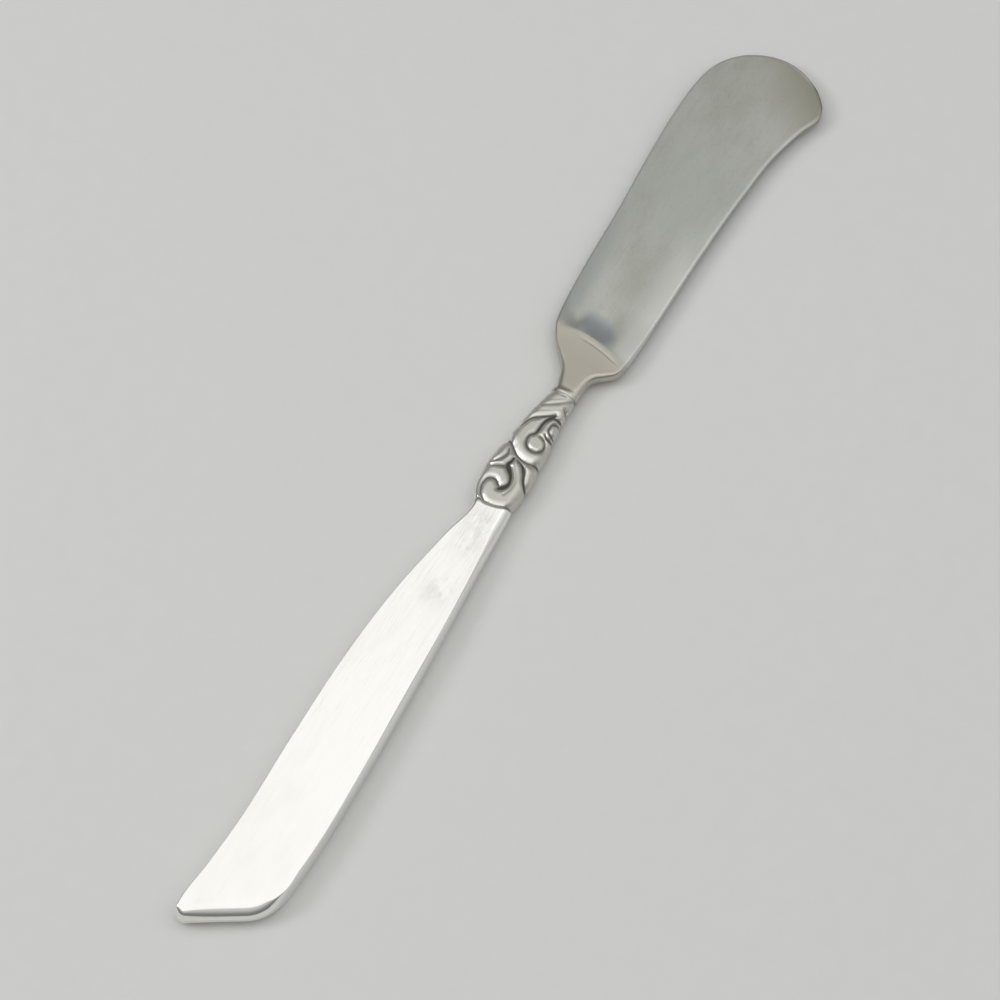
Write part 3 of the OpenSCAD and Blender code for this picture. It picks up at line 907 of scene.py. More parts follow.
@dataclass(frozen=True)
class SatinBlade:
    """Satin blade metal: brushed along its length, crossed by table scratches, with faint clouds.

    A rise is the level of its noise at which it begins, the level at which it is full, and its height.

    Attributes:
        name: Name of the material.
        pale: Colour of the lightest parts.
        deep: Colour of the darkest clouds.
        satin: Least roughness.
        tints: Colours laid over these in turn, each by the attribute that it is named for.
        cloud: Broad noise.
        grain: Noise drawn out along the blade, as by brushing.
        speck: Fine noise.
        scratches: Scratches left by use.
        cloud_rise: Share of the deep colour over the clouds.
        grain_rise: Share of the deep colour over the grain.
        speck_rise: Share of the deep colour over the specks.
        rough_rise: Roughness that the clouds add.
        scratch_rough: Roughness on a scratch.
        uneven: Least share of the painted reflection, and what the clouds add to it.
        heights: Heights of the grain, scratches and clouds, as shares of the relief.
        relief: Depth of the fine relief, in millimetres.
    """

    name: str = "satin_blade"
    pale: Colour = (0.57, 0.58, 0.545, 1.0)
    deep: Colour = (0.455, 0.46, 0.415, 1.0)
    satin: float = 0.3
    tints: tuple[tuple[str, Colour], ...] = (
        # Painted shade at the left of the lower blade
        (PAINTED_SHADE, (0.395, 0.42, 0.4, 1.0)),
        # Painted sheen at the right of the lower blade
        (PAINTED_SHEEN, (0.71, 0.715, 0.685, 1.0)),
        (WARMTH, (0.56, 0.53, 0.465, 1.0)),
        (DUSK, (0.36, 0.345, 0.285, 1.0)),
        # Painted dark bluish reflection in the hollow
        (PAINTED_REFLECTION, (0.38, 0.405, 0.42, 1.0)),
        # Painted highlight along the rim
        (PAINTED_RIM_HIGHLIGHT, (0.77, 0.76, 0.75, 1.0)),
    )
    cloud: Cloud = Cloud(12.0, (0.09, 0.2, 0.2), 4.0, 0.55)
    grain: Cloud = Cloud(2.0, (0.12, 9.0, 9.0), 3.0, 0.6)
    speck: Cloud = Cloud(0.0, (2.4, 2.4, 2.4), 2.0, 0.5)
    scratches: tuple[Scratches, ...] = (
        Scratches(7.0, 12.0, 0.1, 0.62),
        Scratches(63.0, 7.0, 0.12, 0.65),
        Scratches(-48.0, 6.0, 0.12, 0.66),
    )
    cloud_rise: Triple = (0.3, 0.72, 0.7)
    grain_rise: Triple = (0.35, 0.65, 0.2)
    speck_rise: Triple = (0.55, 0.7, 0.3)
    rough_rise: Triple = (0.3, 0.7, 0.08)
    scratch_rough: float = 0.05
    uneven: Pair = (0.75, 0.5)
    heights: Triple = (0.5, -0.4, 1.4)
    relief: float = 0.004

    def material(self) -> bpy.types.Material:
        """Builds the finish.

        Returns:
            The material.
        """
        sheet = MetalSheet(self.name)
        cloud, grain, speck = (sheet.cloud(kind) for kind in (self.cloud, self.grain, self.speck))
        lines = sheet.scratches(self.scratches)
        tone = cloud.rise(*self.cloud_rise) + grain.rise(*self.grain_rise) + speck.rise(*self.speck_rise)
        colour = sheet.colour(tone, self.pale, self.deep)
        for label, tint in self.tints:
            share = sheet.attribute(label)
            # The painted reflection is patchy over the broad clouds
            if label == PAINTED_REFLECTION:
                share = share * (self.uneven[0] + cloud * self.uneven[1])
            colour = sheet.colour(share, colour, tint)
        rough = self.satin + cloud.rise(*self.rough_rise) + lines * self.scratch_rough
        height = grain * self.heights[0] + lines * self.heights[1] + cloud * self.heights[2]
        normal = sheet.bump(height, self.relief)
        return sheet.finish(Base_Color=colour, Roughness=rough, Metallic=1.0, Normal=normal)


@dataclass(frozen=True)
class PlainFinish:
    """A dull finish with a mottled tone, for solder, cement and the floor.

    Attributes:
        name: Name of the material.
        light: Colour of its light spots.
        dark: Colour of its dark spots.
        grain: Spots per millimetre.
        rough: Roughness.
        metal: Share of metal.
        relief: Depth of the fine relief, in millimetres.
        mottle: Level of the noise at which the dark begins, and at which it is full.
    """

    name: str
    light: Colour
    dark: Colour
    grain: float
    rough: float
    metal: float
    relief: float
    mottle: Pair = (0.3, 0.7)

    def material(self) -> bpy.types.Material:
        """Builds the finish.

        Returns:
            The material.
        """
        sheet = MetalSheet(self.name)
        spots = sheet.cloud(Cloud(0.0, (self.grain, self.grain, self.grain), detail=4.0, rough=0.6))
        colour = sheet.colour(spots.smooth(*self.mottle), self.light, self.dark)
        normal = sheet.bump(spots, self.relief)
        return sheet.finish(Base_Color=colour, Roughness=self.rough, Metallic=self.metal, Normal=normal)


RING_SILVER = PolishedSilver(
    "ring_silver", bright=(0.6, 0.575, 0.51, 1.0), warm=(0.54, 0.515, 0.45, 1.0), polish=0.26, tarnished_and_shaded=False
)
SEAM = PlainFinish(
    "burnished_seam", light=(0.8, 0.79, 0.75, 1.0), dark=(0.7, 0.69, 0.65, 1.0),
    grain=1.5, rough=0.25, metal=1.0, relief=0.001,
)
SOLDER = PlainFinish(
    "dull_solder", light=(0.4, 0.39, 0.36, 1.0), dark=(0.28, 0.27, 0.24, 1.0),
    grain=1.5, rough=0.45, metal=0.8, relief=0.004,
)
CEMENT = PlainFinish(
    "cement", light=(0.5, 0.45, 0.38, 1.0), dark=(0.36, 0.32, 0.26, 1.0),
    grain=0.9, rough=0.9, metal=0.0, relief=0.02,
)
PALE_FLOOR = PlainFinish(
    "pale_floor", light=(0.8, 0.8, 0.79, 1.0), dark=(0.79, 0.79, 0.78, 1.0),
    grain=0.3, rough=0.8, metal=0.0, relief=0.002,
)


@dataclass
class Handle:
    """Half shells of the handle, with the collar's seat at their mouth. Sizes are in millimetres."""

    length: float = 95.8
    thickness: float = 3.6
    mouth_w: float = 3.9
    mouth_t: float = 2.7
    mouth_x: float = 1.3
    mouth_share: float = 0.15
    scroll_len: float = 21.0
    scroll_w: float = 7.13
    scroll_sway: float = 0.33
    crest_x: float = 16.0
    scroll_step: float = 1.3
    waist_w: float = 5.7
    waist_t: float = 2.9
    heel_w: float = 11.9
    heel_sway: float = 0.8
    end_slant: float = 32.0
    toe_r: float = 1.5
    heel_r: float = 6.1
    edge_round: float = 0.3
    edge_soft: float = 2.2
    # Places along the arcs of the two corners of the end, and how soft the edge is at each, from 0 to 1
    toe_turns: Shares = (88.0, 104.0, 145.0, 185.0)
    toe_soft: Shares = (0.1, 0.1, 0.34, 0.42, 0.45)
    heel_turns: Shares = (0.08, 0.25, 0.45, 0.7, 1.0)
    heel_soft: Shares = (0.1, 0.32, 0.68, 0.9, 1.0)
    # Where the plain face rises, measured from the waist, and the power of its smooth step
    lift_run: Pair = (-1.0, 24.0)
    lift_power: float = 0.7
    # Wall, room for the relief, and the seam with the relief's fading towards it
    wall: float = 0.45
    relief: float = 0.35
    seam_t: float = 0.12
    seam_soft: float = 0.04
    seam_soft_rise: float = 0.06
    rim_relief: float = 0.8
    rim_fade: float = 0.35
    lining_round: float = 0.25
    # Handled patches: along, across and size
    smudges: tuple[Triple, ...] = (
        (-37.5, -0.6, 2.2), (-29.0, -0.4, 1.8), (-25.0, -0.6, 2.2),
    )
    # Samples between the sections, how many times finer the outer face is, and its steps up and across
    samples: tuple[int, ...] = (11, 15, 25, 8, 8, 8, 8, 6, 4, 4, 3, 4, 1, 3, 3, 4)
    fine: int = 4
    levels: int = 32
    across: int = 72

    @property
    def mouth_sway(self) -> float:
        """How far the mouth lies to the left of the neck's axis."""
        return self.mouth_share * self.scroll_sway

    @property
    def waist_x(self) -> float:
        """Distance from the collar's front to the waist behind the scrolls."""
        return self.scroll_len + self.scroll_step

    def sides(self, steps: Sequence[int]) -> tuple[Array, Array]:
        """Left and right outline of the handle.

        Rows of sections from the mouth to the end give the place, width, sway, roundness, share of the
        relief, lean and softness of the right edge. The two corners of the slanted end are arcs that
        touch one line: the toe's passes through its turns in degrees, and the heel's through shares of
        the turn from its side to that line.

        Args:
            steps: Number of samples between the sections and along the corners.

        Returns:
            Points of the left and of the right side.
        """
        heel_left = (self.heel_w - self.heel_sway) / 2
        heel_right = (self.heel_w + self.heel_sway) / 2
        slant = math.radians(self.end_slant)
        toe = np.array([self.toe_r - self.length, heel_left - self.toe_r])
        heel_y = self.heel_r - heel_right
        gap = self.heel_r - self.toe_r - math.sin(slant) * (heel_y - toe[1])
        heel = np.array([toe[0] + gap / math.cos(slant), heel_y])
        lean = math.tan(slant) * self.heel_w / 2

        def scroll(t: float, width: float) -> Pair:
            """Place and width in the scrolled part."""
            return mix(self.mouth_x, self.scroll_len, t), mix(self.mouth_w, self.scroll_w, width)

        def plain(t: float, width: float) -> Pair:
            """Place and width in the plain part."""
            return mix(self.waist_x, -heel[0], t), mix(self.waist_w, self.heel_w, width)

        sway, heel_sway = self.scroll_sway, self.heel_sway
        rows = np.array([
            (self.mouth_x, self.mouth_w, self.mouth_sway, 0.84, 0.3, 0.0, 0.0),
            (*scroll(0.19, 0.285), 1.1 * sway, 0.52, 0.6, 0.0, 0.0),
            (*scroll(0.44, 0.66), sway, 0.42, 1.0, 0.0, 0.0),
            (*scroll(0.86, 1.0), sway, 0.38, 1.0, 0.0, 0.0),
            (*scroll(0.98, 0.78), 0.64 * sway, 0.34, 1.0, 0.0, 0.0),
            (self.waist_x, self.waist_w, -0.37 * heel_sway, 0.2, 0.3, 0.0, 0.47),
            (*plain(0.1, 0.19), -0.19 * heel_sway, 0.05, 0.0, 0.0, 0.24),
            (*plain(0.28, 0.573), 0.115 * heel_sway, 0.0, 0.0, 0.0, 0.1),
            (*plain(0.48, 0.838), -0.093 * heel_sway, 0.0, 0.0, 0.0, 0.22),
            (*plain(0.69, 0.933), -0.7 * heel_sway, 0.0, 0.0, 0.0, 0.08),
            (*plain(0.89, 0.923), -1.19 * heel_sway, 0.0, 0.0, 0.43 * lean, 0.0),
            (*plain(0.975, 0.959), -1.04 * heel_sway, 0.0, 0.0, 0.7 * lean, 0.05),
        ])
        x, width, centre, roundness, share, slope, soft = rows.T
        toe_arc = [polar(toe, self.toe_r, a) for a in (*self.toe_turns, 180.0 + self.end_slant)]
        heel_arc = [polar(heel, self.heel_r, mix(-90.0, self.end_slant - 180.0, t)) for t in self.heel_turns]

        def side(sign: int, arc: list[Array], arc_soft: Shares) -> Array:
            """One side, rows first and corner last.

            Args:
                sign: 1 for the left and -1 for the right.
                arc: Points of its corner.
                arc_soft: Softness of the edge at each.

            Returns:
                The samples of its smooth curve.
            """
            edge = mix(self.edge_round, self.edge_soft, soft if sign < 0 else 0.0)
            rounding = mix(edge, width / 2, roundness)
            body = np.stack(
                [-x - sign * slope, centre + sign * width / 2, x, rounding, share * self.relief], axis=1
            )
            corner_edge = mix(self.edge_round, self.edge_soft, np.array(arc_soft))
            corner = [(*p, self.length, e, 0.0) for p, e in zip(arc, corner_edge)]
            end_way = sign * np.array([math.sin(slant), -math.cos(slant), 0.0, 0.0, 0.0])
            return smooth_through(np.vstack([body, corner]), steps, end_way)

        return side(1, toe_arc, self.toe_soft), side(-1, heel_arc, self.heel_soft)

    def top(self, plan: Array) -> Array:
        """Height of the face above the seam's middle.

        The scrolls' crest rises from the mouth along a quarter of a sine wave. Behind the scrolls the
        plain face rises from the waist along a power of a smooth step.

        Args:
            plan: Points along and across the knife.

        Returns:
            The heights, in millimetres.
        """
        x = -plan[:, ALONG]
        climb = np.clip((x - self.mouth_x) / (self.crest_x - self.mouth_x), 0.0, 1.0)
        crest = mix(self.mouth_t, self.thickness, np.sin(climb * math.pi / 2)) / 2
        low, high = (self.waist_x + run for run in self.lift_run)
        lift = smooth_step(low, high, x) ** self.lift_power
        plain = mix(self.waist_t, self.thickness, lift) / 2
        return mix(plain, crest, ScrollRelief.inside(plan))

    def steps(self, fine: bool) -> list[int]:
        """Samples between the sections: many along the scrolls, few along the plain part."""
        return [n * self.fine if fine else n for n in self.samples]

    def corner_steps(self, fine: bool) -> int:
        """Samples along a corner of the end."""
        return sum(self.steps(fine)[-len(self.toe_turns) :])

    def shell(self, relief: ScrollRelief) -> tuple[Piece, Array, Array, Index]:
        """Front half shell with the ornament struck into it.

        The outer face is displaced inwards along its normals by the relief, which is weaker at the seam,
        and is drawn in there along a bell curve. Flanks that lean to the front get painted shade, and on
        those that lean to the rear the wear is lessened, which paints a highlight there. The inner face is
        a plain one, set in by the wall.

        Args:
            relief: The ornament.

        Returns:
            The shell, the tarnish with painted shade and the wear with a painted highlight of each of its
            vertices, and the vertices of its rim in order.
        """
        low = self.seam_t / 2
        left, right = self.sides(self.steps(True))
        face = RimmedFace(left, right, self.levels, self.across, False, self.corner_steps(True))
        height = low + (self.top(face.plan) - low) * face.rise
        outer = Piece(np.column_stack([face.plan, height]), face.quads)
        normal = outer.normals()
        carved, ink, shade = relief.carve(face.plan)
        fade = mix(self.rim_relief, 1.0, smooth_step(0.0, self.rim_fade, face.rise))
        on_scrolls = ScrollRelief.inside(face.plan)
        outer.points -= normal * (carved * on_scrolls * fade)[:, None]
        tilt = relief.tilt(outer.normals())
        # Painted shade on the flanks that lean to the front, joined with the tarnish of the floors
        ink = np.maximum(ink, shade * smooth_step(*relief.shade_tilt, tilt))
        # Wear of the ornament, lessened on the flanks that lean to the rear: a painted highlight there
        wear_and_gleam = on_scrolls * (1.0 - relief.painted_gleam * smooth_step(*relief.painted_gleam_tilt, -tilt))
        drawn = self.seam_soft * bell(face.rise, self.seam_soft_rise)
        outer.points[:, :2] -= normal[:, :2] * drawn[:, None]
        outer.points[face.rim, 2] = low
        border = relief.grooves["edge_of_the_scrolls"]
        plain_line = border.ink * smooth_fall(0.0, relief.ink_edge[1], border.reach(face.plan))
        ink = np.maximum(ink * on_scrolls, plain_line) * fade

        inner_face = self.lining()
        deep = self.wall + inner_face.values[:, MORE]
        ceiling = np.minimum(self.top(inner_face.plan), self.thickness / 2) - deep
        inner = Piece(np.column_stack([inner_face.plan, low + (ceiling - low) * inner_face.rise]),
                      inner_face.quads[:, ::-1])
        shift = len(outer.points)
        shell = outer.joined(inner)
        shell.triangles = np.vstack([
            zipped(face.rim, inner_face.rim + shift)[:, ::-1],
            zipped(face.mouth, inner_face.mouth + shift)[:, ::-1],
        ])
        plain = np.zeros(len(inner.points))
        return shell, np.concatenate([ink, plain]), np.concatenate([wear_and_gleam, plain]), face.rim

    def lining(self) -> RimmedFace:
        """Inner face of a half shell: its outline is set in by the wall and the metal behind the relief.

        Returns:
            The laid-out face, on the coarse grid.
        """
        sides = []
        for side, turn in zip(self.sides(self.steps(False)), (1, -1)):
            deep = self.wall + side[:, MORE]
            set_in = side.copy()
            set_in[:, :2] += deep[:, None] * inward_normals(side, turn)
            set_in[:, ROUND] = np.maximum(side[:, ROUND] - deep, self.edge_round * self.lining_round)
            sides.append(set_in)
        levels, across = self.levels // self.fine, self.across // self.fine
        return RimmedFace(*sides, levels, across, False, self.corner_steps(False))

    def seam(self, rim: Array) -> Piece:
        """Solder between the half shells: a square strip that follows their rim a little inside it.

        Args:
            rim: Points of a shell's rim, from the mouth's left round the end to its right.

        Returns:
            The strip, closed at both ends.
        """
        inward = inward_normals(rim, 1)
        edge = rim[:, :2]
        back = edge + self.wall * inward
        low = self.seam_t / 2
        corners = [np.column_stack([line, np.full(len(rim), z)])
                   for line, z in ((edge, low), (edge, -low), (back, -low), (back, low))]
        ids = np.arange(4 * len(rim)).reshape(4, -1)
        walls = [ribbon(ids[k], ids[(k + 1) % 4])[:, ::-1] for k in range(4)]
        ends = np.array([ids[:, 0][::-1], ids[:, -1]])
        return Piece(np.vstack(corners), np.vstack([*walls, ends]))

    def smudge(self, points: Array) -> Array:
        """Dullness from handling: round patches that fade as a bell curve.

        Args:
            points: Points of the knife's own frame.

        Returns:
            The dullness, from 0 to 1.
        """
        gap = points[:, None, :2] - np.array([p[:2] for p in self.smudges])
        size = np.array([p[2] for p in self.smudges])
        return np.clip(np.exp(-(gap**2).sum(-1) / size**2).sum(-1), 0.0, 1.0)

    def dress(self, placing: Placing, silver: bpy.types.Material, solder: bpy.types.Material) -> None:
        """Builds both half shells and their seam, and puts them in place of the CAD ones.

        Args:
            placing: Place of the knife.
            silver: Finish of the shells.
            solder: Finish of the seam.
        """
        front, ink, wear_and_gleam, rim = self.shell(ScrollRelief(GROOVES))
        # Tarnish with painted shade, wear with a painted highlight, and handled patches
        paints = {TARNISH_AND_SHADE: ink, WEAR_AND_GLEAM: wear_and_gleam, SMUDGE: self.smudge(front.points)}
        for side in Side:
            piece = Piece(front.points * [1.0, 1.0, side.value], front.quads, front.triangles)
            if side is Side.BACK:
                piece = Piece(piece.points, piece.quads[:, ::-1], piece.triangles[:, ::-1])
            name = f"handle_{side.name.lower()}_shell"
            obj = placing.add(f"{name}_struck", piece, silver)
            for label, value in paints.items():
                paint(obj, label, value)
            declare(obj, name)
        strip = placing.add("seam_solder_run", self.seam(front.points[rim]), solder)
        declare(strip, "seam_solder")


@dataclass
class Blade:
    """Blade, shoulder, neck and tang. Sizes are in millimetres."""

    length: float = 64.5
    tip_r: float = 9.8
    tip_w: float = 17.45
    tip_corner: float = 0.3
    tip_span: float = 40.0
    # Places along the tip's arc in degrees, and bows there as shares of its radius
    tip_turns: Shares = (76.0, 64.0, 52.0)
    tip_turns_right: Shares = (-67.0, -58.0, -49.0)
    tip_bows: Shares = (0.33, 0.325, 0.275)
    # Shoulder, and how far the blade sways to the left
    shoulder_w: float = 12.7
    shoulder_x: float = 7.2
    shoulder_bow: float = 0.8
    shoulder_lean: float = 0.7
    shoulder_run: float = 2.0
    sway: float = 2.1
    shoulder_t: float = 1.7
    flare_start: float = -0.3
    # Length of the run-out past the shoulder, at shares across from the left, and the slow one at the right
    run_across: Shares = (0.0, 0.1, 0.22, 0.32, 0.75)
    run_lengths: Shares = (7.0, 3.5, 2.2, 3.6, 3.0)
    slow_run: float = 9.0
    slow_across: Pair = (0.55, 0.82)
    # Line pressed in along the shoulder, with the shares across over which it begins and ends
    lip_depth: float = 0.035
    lip_back: float = 0.2
    lip_steep: float = 0.12
    lip_gentle: float = 0.4
    lip_left: Pair = (0.25, 0.5)
    lip_right: Pair = (0.85, 0.97)
    # Hollow in front of the shoulder
    hollow_depth: float = 0.14
    hollow_start: float = 0.8
    hollow_left: Pair = (0.1, 0.35)
    hollow_run: float = 2.0
    hollow_across: float = 1.2
    hollow_width: float = 3.4
    # Painted dark bluish reflection in the hollow: middle, half sizes, lean in degrees, fade outwards and
    # start past the shoulder
    reflection_place: Pair = (10.7, 1.3)
    reflection_size: Pair = (2.2, 3.6)
    reflection_lean: float = -25.0
    reflection_fade: Pair = (0.55, 1.15)
    reflection_start: Pair = (0.7, 1.3)
    # Warm neck, dusky tip, extent of the lower half, its painted sheen and painted shade, and the painted
    # highlight on the rim
    warm_run: float = 1.2
    dusk_reach: Pair = (0.74, 0.95)
    lower_end: Pair = (0.2, 0.7)
    lower_start: float = 2.0
    painted_sheen: float = 0.85
    sheen_across: Pair = (0.62, 1.0)
    painted_shade: float = 0.9
    gloom_across: Pair = (0.0, 0.3)
    gloom_middle: float = 0.3
    gloom_place: float = 0.6
    gloom_spread: float = 0.25
    rim_highlight_rise: Pair = (0.88, 1.0)
    rim_highlight_start: float = 6.0
    rim_highlight_loss: float = 0.95
    rim_highlight_right: Pair = (0.8, 1.0)
    # Thickness and edge of the blade, and its crown across
    blade_t: float = 1.2
    tip_t: float = 0.95
    edge_t: float = 0.5
    edge_run: float = 0.35
    edge_run_right: Pair = (0.45, 0.7)
    crown: float = 0.05
    # Neck at the ring
    neck_w: float = 3.7
    neck_t: float = 2.4
    # Tang, with the places of a notch's corners as shares of its length
    tang_len: float = 42.0
    tang_w: float = 2.2
    tang_end_w: float = 1.5
    tang_t: float = 1.2
    tang_straight: float = 2.6
    tang_root: float = 1.0
    tang_notches: int = 3
    notch_depth: float = 0.25
    notch_len: float = 2.4
    notch_shape: Shares = (0.5, 0.25, -0.25, -0.5)
    # Samples between the sections, and steps up the edge and across
    steps: tuple[int, ...] = (10, 8, 12, 16, 16, 12, 16, 16, 16, 10, 10, 8, 6, 6, 8)
    levels: int = 12
    across: int = 32

    def sides(self) -> tuple[Array, Array]:
        """Left and right outline of the blade.

        Rows of sections from the neck to the tip give the place, width, sway, roundness, lean and bow. The
        tip is an arc about a centre on the neck's axis, through its turns in degrees, with its corner at
        the right set in a little.

        Returns:
            Points of the left and of the right side.
        """
        body_x = self.shoulder_x + self.shoulder_run
        tip_x = self.length - self.tip_r
        centre = np.array([tip_x, 0.0])
        bow, r = self.shoulder_bow, self.tip_r

        def flare(place: float, width: float) -> Pair:
            """Place and width between the neck and the shoulder."""
            return place * self.shoulder_x, mix(self.neck_w, self.shoulder_w, width)

        def body(place: float, width: float) -> Pair:
            """Place and width between the shoulder and the tip."""
            return mix(body_x, tip_x, place), mix(self.shoulder_w, self.tip_w, width)

        hollow = (mix(self.shoulder_x, body_x, 0.4), mix(self.neck_w, self.shoulder_w, 0.96))
        rows = np.array([
            (0.0, self.neck_w, 0.0, 0.5, 0.0, 0.0),
            (*flare(0.42, 0.17), 0.15, 0.15, 0.0, 0.1 * bow),
            (*flare(0.63, 0.486), 0.17, 0.04, 0.3, 0.4 * bow),
            (*flare(0.81, 0.756), 0.26, 0.0, 0.7, 0.8 * bow),
            (*flare(1.0, 0.912), 0.39, 0.0, 1.0, bow),
            (*hollow, 0.45, 0.0, 1.0, bow),
            (*body(0.0, 0.0), 0.5, 0.0, 1.0, bow),
            (*body(0.17, 0.19), 0.69, 0.0, 0.5, 0.6 * bow),
            (*body(0.44, 0.316), 0.85, 0.0, 0.0, 0.3 * bow),
            (*body(0.7, 0.577), 0.98, 0.0, 0.0, 0.04 * r),
            (*body(0.87, 0.768), 0.92, 0.0, 0.0, 0.09 * r),
            (*body(1.0, 1.0), 0.555, 0.0, 0.0, 0.2 * r),
        ])
        x, width, sway, roundness, lean, bows = rows.T
        end_bow = 1.0 - math.cos(math.radians(self.tip_span))
        tip_bows = [share * r for share in (*self.tip_bows, end_bow)]
        left_tip = [polar(centre, r, a) for a in (*self.tip_turns, self.tip_span)]
        corner, *others = self.tip_turns_right
        right_tip = [polar(centre, r - self.tip_corner, corner)]
        right_tip += [polar(centre, r, a) for a in (*others, -self.tip_span)]

        def side(sign: int, tip: list[Array]) -> Array:
            """One side, rows first and tip last.

            Args:
                sign: 1 for the left and -1 for the right.
                tip: Points of its part of the tip.

            Returns:
                The samples of its smooth curve.
            """
            run = self.edge_run if sign > 0 else np.interp(x, (self.shoulder_x, tip_x), self.edge_run_right)
            rounding = mix(run, width / 2, roundness)
            start = np.stack([x + sign * lean * self.shoulder_lean, sway * self.sway + sign * width / 2,
                              x, rounding, bows], axis=1)
            arc = [(*p, self.length, rounding[-1], b) for p, b in zip(tip, tip_bows)]
            return smooth_through(np.vstack([start, arc]), self.steps)

        return side(1, left_tip), side(-1, right_tip)

    @property
    def body_len(self) -> float:
        """Length of the blade from the shoulder to the centre of the tip."""
        return self.length - self.tip_r - self.shoulder_x

    def half(self, face: RimmedFace) -> Array:
        """Half thickness of the blade at the points of a face.

        The neck's falls smoothly to the shoulder's. Past the shoulder it runs out along a smooth step to
        the blade's own, which falls evenly to the tip's: quickly at the left and slowly at the right.
        A line is pressed in along the shoulder, steep on the neck's side. In front of it lies a hollow
        whose depth at the distance s is s / run * exp(1 - s / run), fading to both sides as a bell
        curve, and the blade is crowned a little across. Places across are shares from the left.

        Args:
            face: The laid-out face.

        Returns:
            The half thickness, in millimetres.
        """
        place = face.values[:, STATION]
        past = place - self.shoulder_x
        fall = smooth_step(self.flare_start * self.shoulder_x, self.shoulder_x, place)
        flare = mix(self.neck_t, self.shoulder_t, fall) / 2
        taper = np.clip(past / self.body_len, 0.0, 1.0)
        q = face.share
        blade = mix(self.blade_t, self.tip_t, taper) / 2
        blade -= self.crown * (1.0 - 4.0 * q * (1.0 - q)) * smooth_step(0.0, self.shoulder_x, past)
        start = np.interp(q, self.hollow_left, (0.0, self.hollow_start))
        run = np.interp(q, self.run_across, self.run_lengths)
        quick, slow = smooth_step(start, start + run, past), smooth_step(0.0, self.slow_run, past)
        half = mix(flare, blade, mix(quick, slow, smooth_step(*self.slow_across, q)))
        ahead = np.maximum(past - self.hollow_start, 0.0) / self.hollow_run
        aside = (face.plan[:, ACROSS] - self.hollow_across) / self.hollow_width
        half -= self.hollow_depth * ahead * np.exp(1.0 - ahead - aside**2)
        beyond = past + self.lip_back
        width = np.where(beyond < 0.0, self.lip_steep, self.lip_gentle)
        pressed = smooth_step(*self.lip_left, q) * smooth_fall(*self.lip_right, q)
        return half - self.lip_depth * pressed * bell(beyond, width)

    def tones(self, face: RimmedFace) -> dict[str, Array]:
        """Tones of the points of a face, from 0 to 1.

        The neck is warm as far as the shoulder, the blade is dusky towards the tip's right, and a painted
        dark bluish reflection lies in the hollow: a leaning oval that ends at the shoulder and fades
        outwards. The lower half has painted shade at its left and a painted sheen at its right, the middle
        is a little darker as a bell curve along the blade, and the rim has a painted highlight, least at
        its right.

        Args:
            face: The laid-out face.

        Returns:
            The tones, by the name of the attribute.
        """
        past = face.values[:, STATION] - self.shoulder_x
        along, across = face.plan[:, ALONG], face.plan[:, ACROSS]
        reach = (along - across) / (self.length + self.tip_r)
        x, y = along - self.reflection_place[0], across - self.reflection_place[1]
        lean = math.radians(self.reflection_lean)
        u, v = x * math.cos(lean) + y * math.sin(lean), y * math.cos(lean) - x * math.sin(lean)
        oval = np.hypot(u / self.reflection_size[0], v / self.reflection_size[1])
        q, taper = face.share, past / self.body_len
        lower = smooth_fall(*self.lower_end, taper) * smooth_step(0.0, self.lower_start, past)
        # Painted shade at the left of the lower half; the middle is also a little darker along a bell curve
        left = self.painted_shade * lower * smooth_fall(*self.gloom_across, q)
        middle = self.gloom_middle * bell(taper - self.gloom_place, self.gloom_spread)
        # Painted highlight on the rim where the edge rounds down, from a little past the shoulder
        rim = smooth_fall(*self.rim_highlight_rise, face.rise) * smooth_step(0.0, self.rim_highlight_start, past)
        return {
            WARMTH: smooth_fall(0.0, self.warm_run, past),
            DUSK: smooth_step(*self.dusk_reach, reach),
            # Painted dark bluish reflection in the hollow
            PAINTED_REFLECTION: smooth_fall(*self.reflection_fade, oval) * smooth_step(*self.reflection_start, past),
            # Painted sheen at the right of the lower half
            PAINTED_SHEEN: self.painted_sheen * lower * smooth_step(*self.sheen_across, q),
            PAINTED_SHADE: np.maximum(left, middle),
            PAINTED_RIM_HIGHLIGHT: rim * (1.0 - self.rim_highlight_loss * smooth_step(*self.rim_highlight_right, q)),
        }

    def forging(self) -> tuple[Piece, dict[str, Array]]:
        """Blade and neck as one closed skin: an upper face, its mirror image, the edge and the neck's end.

        Returns:
            The skin and the tones at its vertices.
        """
        left, right = self.sides()
        corner = sum(self.steps[-len(self.tip_turns) :])
        face = RimmedFace(left, right, self.levels, self.across, True, corner)
        low = self.edge_t / 2
        height = low + (self.half(face) - low) * face.rise
        upper = np.column_stack([face.plan, height])
        count = len(upper)
        skin = Piece(
            np.vstack([upper, upper * [1.0, 1.0, -1.0]]),
            np.vstack([
                face.quads,
                face.quads[:, ::-1] + count,
                ribbon(face.rim, face.rim + count),
                ribbon(face.mouth, face.mouth + count),
            ]),
        )
        return skin, {label: np.tile(tone, 2) for label, tone in self.tones(face).items()}

